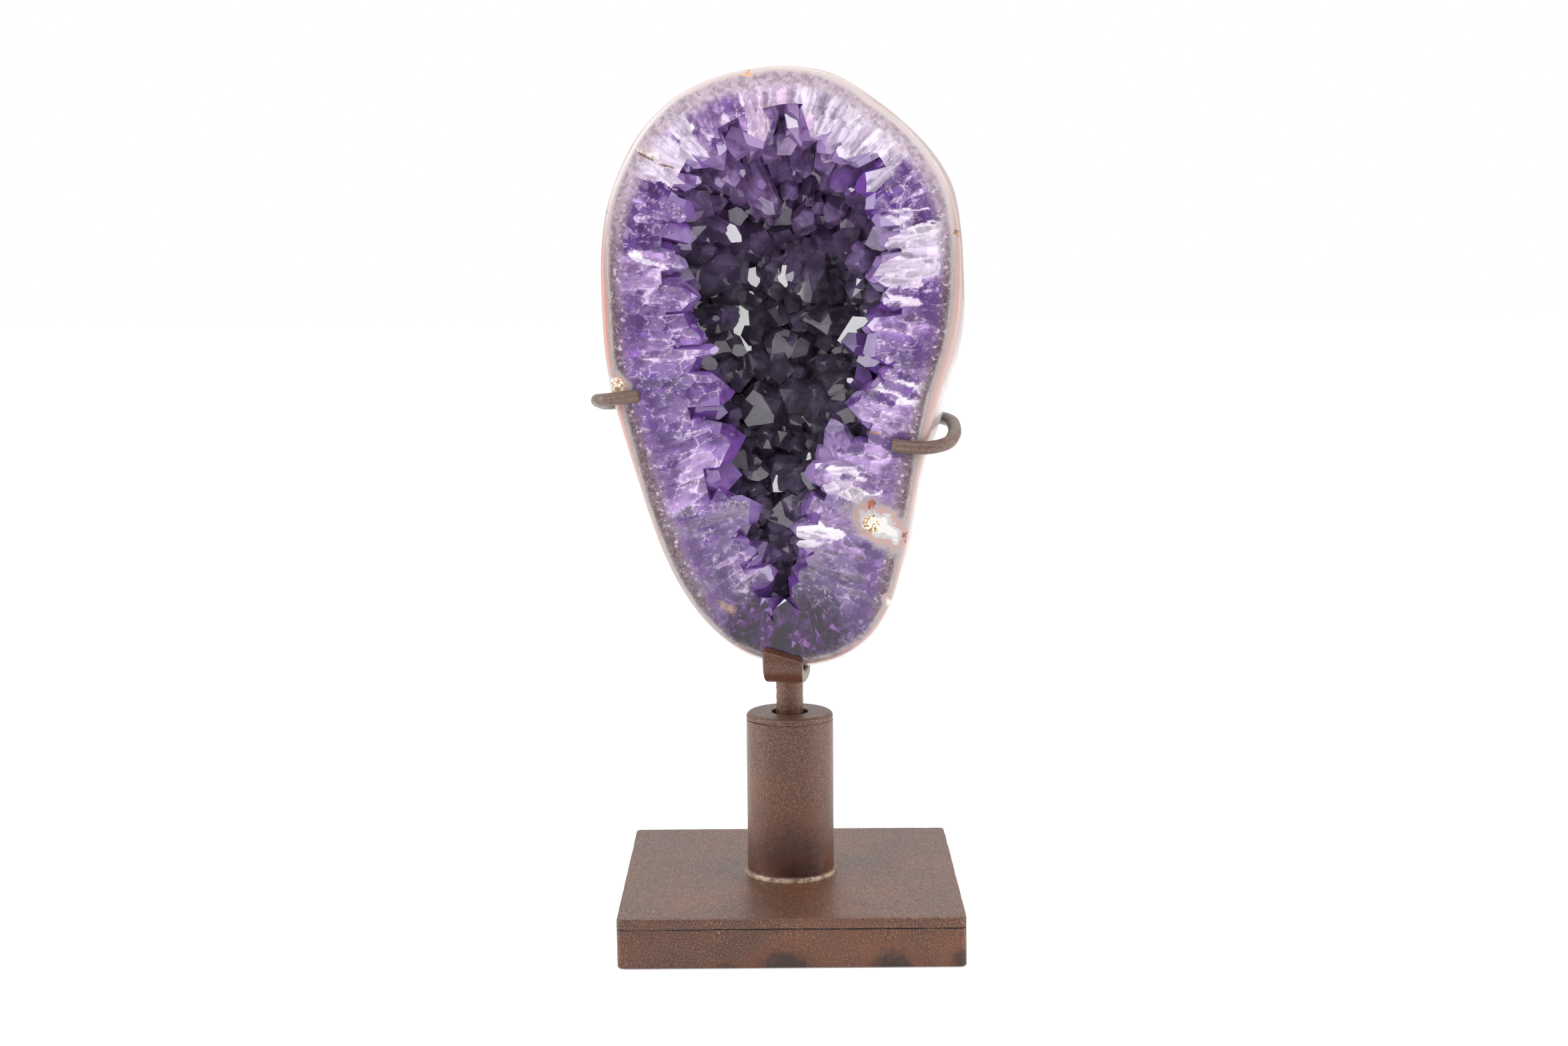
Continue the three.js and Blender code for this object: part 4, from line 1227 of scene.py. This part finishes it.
def small_crystals(draw):
    """Small crystals in rows over the hollow's wall, each pointing into the hollow."""
    grown = []
    edge = closed_curve(HOLLOW_OUTLINE, WALL_POINTS)
    for turn in SMALL_ROWS:
        row = hollow_ring(edge, turn)
        line = np.vstack([row, row[:1]])
        count = max(3, round(run_along(line)[-1] / SMALL_SPACING))
        fine = even_spots(line, count * FINE_STEPS)
        for i in range(count):
            foot = fine[(i * FINE_STEPS + int(FINE_SHIFT * next(draw))) % (count * FINE_STEPS)]
            core = min(max(foot[2], CORE_LOW), CORE_HIGH)
            heart = np.array([0, FACE_DEPTH + 3, core + 30 * (next(draw) - 0.5)])
            room = np.linalg.norm(heart - foot)
            lean = np.array([next(draw) - 0.5 for _ in range(3)]) * SMALL_LEAN
            inward = unit((heart - foot) / room + lean)
            size = next(draw) ** 1.4
            radius, reach = (low + size * (high - low) for low, high in (SMALL_RADIUS, SMALL_REACH))
            radius, reach = min(radius, 0.3 * room + 1), min(reach, 0.4 * room + 1)
            grown.append((foot - SMALL_ROOT * inward, foot + reach * inward, radius, None))
    return grown


def columns(draw):
    """The thin columns between the druse and the larger crystals, which only the face shows."""
    outline = even_outline(COLUMN_STEPS)
    ahead = np.roll(outline, -1, axis=0) - np.roll(outline, 1, axis=0)
    inward = unit(stack(ahead[:, 1], -ahead[:, 0]))
    count = round(run_along(outline)[-1] / COLUMN_SPACING)
    grown = []
    for i in range(count):
        for row in (0, 1):
            k = int((i + 0.5 * row + 0.6 * next(draw)) / count * COLUMN_STEPS) % COLUMN_STEPS
            low = COLUMN_LOW + 10 * row + 4 * next(draw)
            high = low + (COLUMN_HIGH - COLUMN_LOW) * (0.5 + 0.4 * next(draw))
            lean = np.array([next(draw) - 0.5, next(draw) - 0.5]) * 5
            radius = COLUMN_RADIUS[0] + next(draw) * (COLUMN_RADIUS[1] - COLUMN_RADIUS[0])
            ends = (outline[k] + inward[k] * low, outline[k] + inward[k] * high + lean)
            ends = [np.array([s, FACE_DEPTH + 0.3, h]) for s, h in ends]
            grown.append((*ends, radius, None))
    return grown


def tone_near(spot, draw):
    """The tone of the quartz round a place on the face, sometimes a neighbouring one."""
    aways = [math.hypot(spot[0] - s, spot[2] - h) * (0.6 + 0.8 * next(draw)) for s, h, _ in TINTS]
    return TINTS[int(np.argmin(aways))][2]


def grow_crystals():
    """The crystals of the crust, and with them those that only the cut face shows."""
    draw = random_run(SEED)
    solid = face_crystals(draw) + hollow_crystals(HOLLOW_CRYSTALS, draw) + small_crystals(draw)
    ledge = hollow_crystals(LEDGE_CRYSTALS, random_run(SEED + 2))
    grown = []
    for root, tip, radius, tone in solid + columns(draw) + ledge:
        colour, clear = TONES[tone or tone_near((root + tip) / 2, draw)]
        colour = np.array(colour) * (0.84 + 0.3 * next(draw))
        grown.append(Crystal(root, tip, radius, colour, clear))
    cut = [c for c in grown if min(c.root[1], c.tip[1]) - c.radius < FACE_DEPTH + 1]
    return grown[: len(solid)] + grown[-len(ledge) :], cut


def mouthed_body(name, rings):
    """A body of rings that starts a little in front of the first."""
    return new_piece(name, tube_of([rings[0] - [0, 5, 0], *rings]))


def room():
    """The room in the shell for the crust, with its wall a little inside the agate."""
    outline = closed_curve(FACE_OUTLINE, ROOM_SIDES)
    turns = (0, 12, 25, 40, 55, 70, 82)
    return mouthed_body("room", [stone_ring(outline, t, wall_at(outline, t) - 1) for t in turns])


def hollow():
    """The hollow in the bed, with a flared mouth where crystals stand free of each other."""
    edge = closed_curve(HOLLOW_OUTLINE, HOLLOW_SIDES)
    return mouthed_body("hollow", [hollow_ring(edge, turn, 2, MOUTH[turn]) for turn in MOUTH])


def face_block():
    """A block behind the cut face, whose front is finely divided."""
    s, h = np.meshgrid(*(np.arange(*span, FACE_GRID_STEP) for span in FACE_GRID_SPANS))
    front = stack(s.ravel(), FACE_DEPTH - 0.04, h.ravel())
    grid = np.arange(s.size).reshape(s.shape)
    squares = np.stack([grid[:-1, :-1], grid[:-1, 1:], grid[1:, 1:], grid[1:, :-1]], axis=-1)
    rim = np.concatenate([grid[0], grid[1:, -1], grid[-1, -2::-1], grid[-2:0:-1, 0]])
    back = np.arange(len(rim)) + grid.size
    sides = stack(np.roll(rim, -1), rim, back, np.roll(back, -1))
    faces = squares.reshape(-1, 4).tolist() + sides.tolist() + [back.tolist()]
    return new_piece("face_block", (np.vstack([front, front[rim] + [0, 120, 0]]), faces))


def combine(piece, other, operation):
    """Joins or cuts one body with another, which is used up."""
    modifier = piece.modifiers.new("combine", "BOOLEAN")
    modifier.object = other
    modifier.operation = operation
    modifier.solver = "MANIFOLD"
    graph = bpy.context.evaluated_depsgraph_get()
    mesh = bpy.data.meshes.new_from_object(piece.evaluated_get(graph))
    old = piece.data
    piece.modifiers.clear()
    piece.data = mesh
    bpy.data.meshes.remove(old)
    bpy.data.meshes.remove(other.data)
    return piece


def join_all(pieces):
    """Joins many bodies in pairs, and then the pairs."""
    while len(pieces) > 1:
        joined = [combine(a, b, "UNION") for a, b in zip(pieces[::2], pieces[1::2])]
        pieces = joined + pieces[len(joined) * 2 :]
    return pieces[0]


def cut_places(points, crystals):
    """The crystal that each point of the cut face is in, its border's distance and its place."""
    best, second = np.full((2, len(points)), 1e9)
    owner, runner = np.zeros((2, len(points)), int)
    flat = points * [1, 0, 1] + [0, FACE_DEPTH, 0]
    for index, crystal in enumerate(crystals):
        axis = crystal.tip - crystal.root
        share = np.clip((flat - crystal.root) @ axis / (axis @ axis), 0, 1)
        away = flat - crystal.root - share[:, None] * axis
        away = np.linalg.norm(away, axis=1) / crystal.radius
        wins = away < best
        close = ~wins & (away < second)
        second = np.where(wins, best, np.where(close, away, second))
        runner = np.where(wins, owner, np.where(close, index, runner))
        best = np.where(wins, away, best)
        owner = np.where(wins, index, owner)
    radii, tips, roots = (gather(crystals, part) for part in ("radius", "tip", "root"))
    border = (second - best) / (1 / radii[owner] + 1 / radii[runner])
    axes = unit((tips - roots) * [1, 0, 1])[owner]
    offset = flat - tips[owner]
    along = (offset * axes).sum(axis=1)
    across = offset[:, 0] * axes[:, 2] - offset[:, 2] * axes[:, 0]
    return owner, border, stack(owner * 7.3, along, across)


def record_cut(piece, points, crystals):
    """Gives a piece's corners their places on the cut face and in its crystals."""
    owner, border, growth = cut_places(points, crystals)
    inward, around = rim_places(points)
    record(piece, spot=points, rim=inward, round=around, edge=border, growth=growth)
    return owner


def crystal_crust(crystals, cut):
    """All the crystals grown together with their bed, cut by the room and the polished face."""
    draw = random_run(SEED + 1)
    bodies = []
    for index, crystal in enumerate(crystals):
        body = new_piece("crystal", quartz(crystal.root, crystal.tip, crystal.radius, draw))
        record(body, "FACE", crystal=np.full(len(body.data.polygons), index))
        bodies.append(body)
    crust = combine(room(), hollow(), "DIFFERENCE")
    crust = combine(crust, join_all(bodies), "UNION")
    crust = combine(crust, room(), "INTERSECT")
    block = face_block()
    in_front = [abs(face.normal.y) > 0.9 and face.center.y < 0 for face in block.data.polygons]
    record(block, "FACE", crystal=-np.array(in_front, float))
    crust = combine(crust, block, "INTERSECT")
    crust.name = "crystal_crust_amethyst"
    paint_crust(crust, crystals, cut)
    return crust


def paint_crust(crust, crystals, cut):
    """Gives each corner of the crust its tone and place, by the face or by its own crystal."""
    mesh = crust.data
    face_owner = np.zeros(len(mesh.polygons), np.float32)
    mesh.attributes["crystal"].data.foreach_get("value", face_owner)
    sizes = [face.loop_total for face in mesh.polygons]
    facet = np.repeat(np.round(face_owner).astype(int), sizes)
    corner = np.empty(len(mesh.loops), np.int32)
    mesh.loops.foreach_get("vertex_index", corner)
    points = vertex_vectors(crust, "co") / MM
    owner = record_cut(crust, points, cut)[corner]
    flush = facet == -1
    facet = np.maximum(facet, 0)
    tone = np.where(flush[:, None], gather(cut, "colour")[owner], gather(crystals, "colour")[facet])
    clear = np.where(flush, gather(cut, "clear")[owner], gather(crystals, "clear")[facet])
    record(crust, "CORNER", tone=tone, clear=clear, flush=flush)
    mesh.attributes.remove(mesh.attributes["crystal"])
    mesh.vertices.foreach_set("co", in_model(points, True).ravel())
    mesh.shade_flat()
    mesh.update()


# The cradle and the hooks


def spine_line():
    """The line of the strap's inner side up the back of the stone, as [d, h]."""
    bottom = np.array([[0.0, min(h for _, h in FACE_OUTLINE) + 0.5]])
    line = []
    for turn in (36, 46, 56, 66, 76, 86):
        _, d, h = stone_ring(bottom, turn)[0]
        line.append([d + SPINE_CLEARANCE * math.sin(math.radians(turn)), h - SPINE_CLEARANCE])
    for height in (SPINE_STRAIGHT, SPINE_TOP):
        depth = mix_by_height(DEPTH_LOW, DEPTH_HIGH, height)
        line.append([FACE_DEPTH + depth + SPINE_CLEARANCE, height])
    return line


def strap_section():
    """The strap's cross section with round corners, as [s, outward]."""
    half = STRAP_WIDTH / 2 - STRAP_CORNER
    near, far = STRAP_CORNER, STRAP_THICKNESS - STRAP_CORNER
    centres = ((half, near), (half, far), (-half, far), (-half, near))
    section = []
    for centre, start in zip(centres, (-90, 0, 90, 180)):
        section += arc(centre, STRAP_CORNER, start, start + 90, 6)
    return np.array(section)


def cradle_strap():
    """The bent flat bar under the stone, from its slanted lip to its end up the stone's back."""
    inner = [
        [LIP_INNER, LIP_TOP], [LIP_INNER, LIP_CORNER], [LIP_INNER + 1.4, LIP_CORNER - 2],
        [-14, SEAT_TOP + 0.4], [-9, SEAT_TOP], [4, SEAT_TOP], *spine_line(),
    ]
    line = open_curve(inner, np.linspace(0, 1, STRAP_STEPS))
    along = unit(np.gradient(line, axis=0))
    section = strap_section()
    middle = [0, STRAP_THICKNESS / 2]
    ends = {0: 0.9, 1: 0.97, STRAP_STEPS - 2: 0.97, STRAP_STEPS - 1: 0.9}
    rings = []
    for i, ((d, h), (ahead_d, ahead_h)) in enumerate(zip(line, along)):
        s, out = (middle + (section - middle) * ends.get(i, 1)).T
        rings.append(stack(s, d + ahead_h * out, h - ahead_d * out))
    points, faces = tube_of(rings)
    lip = (points[:, 1] < LIP_INNER + 0.5) & (points[:, 2] > LIP_CORNER)
    across, slant = LIP_SLANT
    top = LIP_TOP - LIP_CUT - across * points[:, 0] + slant * (points[:, 1] - LIP_INNER + LIP_REACH)
    share = (points[:, 2] - LIP_CORNER) / (LIP_TOP - LIP_CORNER)
    points[:, 2] = np.where(lip, LIP_CORNER + share * (top - LIP_CORNER), points[:, 2])
    piece = new_piece("cradle_strap_painted", (points, faces), turned=True)
    return push(piece, 0.16 * grain(head_corners(piece), 4, 71, 3) - 0.12)


def hook_arm(name, hook, side, face_half):
    """A rod from its tip over the face, round the flank and to its weld on the strap."""
    points = [list(spot) for spot in hook]
    away = ROD_RADIUS + ARM_CLEARANCE
    start, end = HOOK_RISE
    for turn in HOOK_TURNS:
        height = hook[-1][2] + (ARM_HEIGHT - hook[-1][2]) * (turn - start) / (end - start)
        x, d, _ = stone_ring(np.array([[side * face_half, height]]), turn)[0]
        angle = math.radians(turn)
        points.append([x + side * away * math.cos(angle), d + away * math.sin(angle), height])
    points.append([side * (STRAP_WIDTH / 2 - 0.4), points[-1][1], points[-1][2]])
    shares = [*np.linspace(0, 0.012, 6), *np.linspace(0.02, 0.985, 110), 0.992, 0.996, 1]
    line = open_curve(points, shares)
    run = run_along(line)
    flare = 0.35 * hump(run, run[-1], 2.2) - 0.2 * np.exp(-run / 0.35)
    form = sweep(line, ROD_RADIUS * 0.99 * (1 + flare), ROD_SIDES)
    piece = new_piece(name, form, turned=True, sharp=50)
    return push(piece, 0.1 * grain(head_corners(piece), 2.6, 81, 2) - 0.06)


# The stage


def make_camera():
    data = bpy.data.cameras.new("camera")
    data.sensor_width = SENSOR_WIDTH
    data.lens = FOCAL_PIXELS / IMAGE_WIDTH * SENSOR_WIDTH
    camera = new_object("camera", data)
    tilt = Matrix.Rotation(math.pi / 2 - CAMERA_PITCH, 4, "X")
    roll = Matrix.Rotation(CAMERA_ROLL, 4, "Z")
    camera.matrix_world = Matrix.Translation(Vector(CAMERA_PLACE) * MM) @ tilt @ roll
    bpy.context.scene.camera = camera


def softbox(name, place, size, radiance):
    """A soft light that is turned to the stone and that the camera doesn't see."""
    data = bpy.data.lights.new(name, "AREA")
    data.shape = "RECTANGLE"
    data.size, data.size_y = size
    data.energy = radiance * math.pi * size[0] * size[1]
    light = new_object(name, data)
    light.location = place
    light.rotation_mode = "QUATERNION"
    light.rotation_quaternion = (Vector(LIGHTS_AIM) - Vector(place)).to_track_quat("-Z", "Y")
    light.visible_camera = False


def make_surround():
    """A white studio, dim where the camera stands, with a backdrop that is seen as pure white."""
    world = bpy.data.worlds.new("surround")
    sky = Tree(world)
    _, ahead, up = sky.add("TexCoord", {}, "Generated").parts()
    dim = ahead.step(-0.95, -0.5, CAMERA_SIDE_SHARE, 1.0)
    behind = ahead.step(0.0, 1.0, 1.0, BACKDROP_SHARE)
    high = sky.add("MapRange", {"Value": up, "To Min": HORIZON_LIGHT, "To Max": ZENITH_LIGHT})
    seen = sky.add("LightPath", {}, "Is Camera Ray")
    strength = {"Value": seen, "To Min": dim * high * behind, "To Max": 1.0}
    background = sky.nodes["Background"]
    sky.feed(background.inputs["Strength"], sky.add("MapRange", strength))
    sky.feed(background.inputs["Color"], (1, 1, 1))
    bpy.context.scene.world = world


def make_stage():
    """A pale floor, a white surround and soft lights from both sides, above and in front."""
    corners = [(-1, -1), (1, -1), (1, 1), (-1, 1)]
    corners = [(x * FLOOR_HALF, y * FLOOR_HALF, -FLOOR_DROP) for x, y in corners]
    mesh = bpy.data.meshes.new("floor")
    mesh.from_pydata(corners, [], [(0, 1, 2, 3)])
    floor = new_object("floor", mesh)
    pale = Surface("pale_floor", Roughness=0.6, Emission_Strength=0.32)
    colour = pale.place().noise(0.002).ramp((0.3, (0.86, 0.86, 0.86)), (0.7, (0.9, 0.9, 0.9)))
    mesh.materials.append(pale.wear(Base_Color=colour))
    floor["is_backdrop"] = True
    make_surround()
    for name, place, size, radiance in LIGHTS:
        softbox(name, place, size, radiance)
    bpy.context.scene.view_settings.view_transform = "Standard"


make_camera()
make_stage()

base_paint = bronze_paint("bronze_paint_base", BASE_BURNS, seam=BLOCK_HEIGHT + GAP / 2, fine=1.45)
post_paint = bronze_paint("bronze_paint_post", POST_BURNS, bead=PIPE_RADIUS + 0.4)
head_paint = bronze_paint("bronze_paint_head", LIP_BURNS)
hook_paint = bronze_paint("bronze_paint_hooks", worn=0.4)

dress(base_block(), "base_block", "stand_base", base_paint)
dress(base_top_plate(), "base_top_plate", "stand_base", base_paint)
dress(post_tube(), "post_tube", "stand_base", post_paint)
dress(post_cap(), "post_cap", "stand_base", post_paint)
dress(spindle(), "spindle", "turning_head", head_paint)
dress(cradle_strap(), "cradle_strap", "turning_head", head_paint)
left_arm = hook_arm("left_hook_painted", LEFT_HOOK, -1, LEFT_FACE_HALF)
right_arm = hook_arm("right_hook_painted", RIGHT_HOOK, 1, RIGHT_FACE_HALF)
dress(left_arm, "left_hook_arm", "turning_head", hook_paint)
dress(right_arm, "right_hook_arm", "turning_head", hook_paint)
crystals, cut_crystals = grow_crystals()
shell, crust = geode_shell(cut_crystals), crystal_crust(crystals, cut_crystals)
dress(shell, "geode_shell", "turning_head", agate())
dress(crust, "crystal_crust", "turning_head", amethyst())

[[list(corner) for corner in box] for box in (cad_box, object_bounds())]
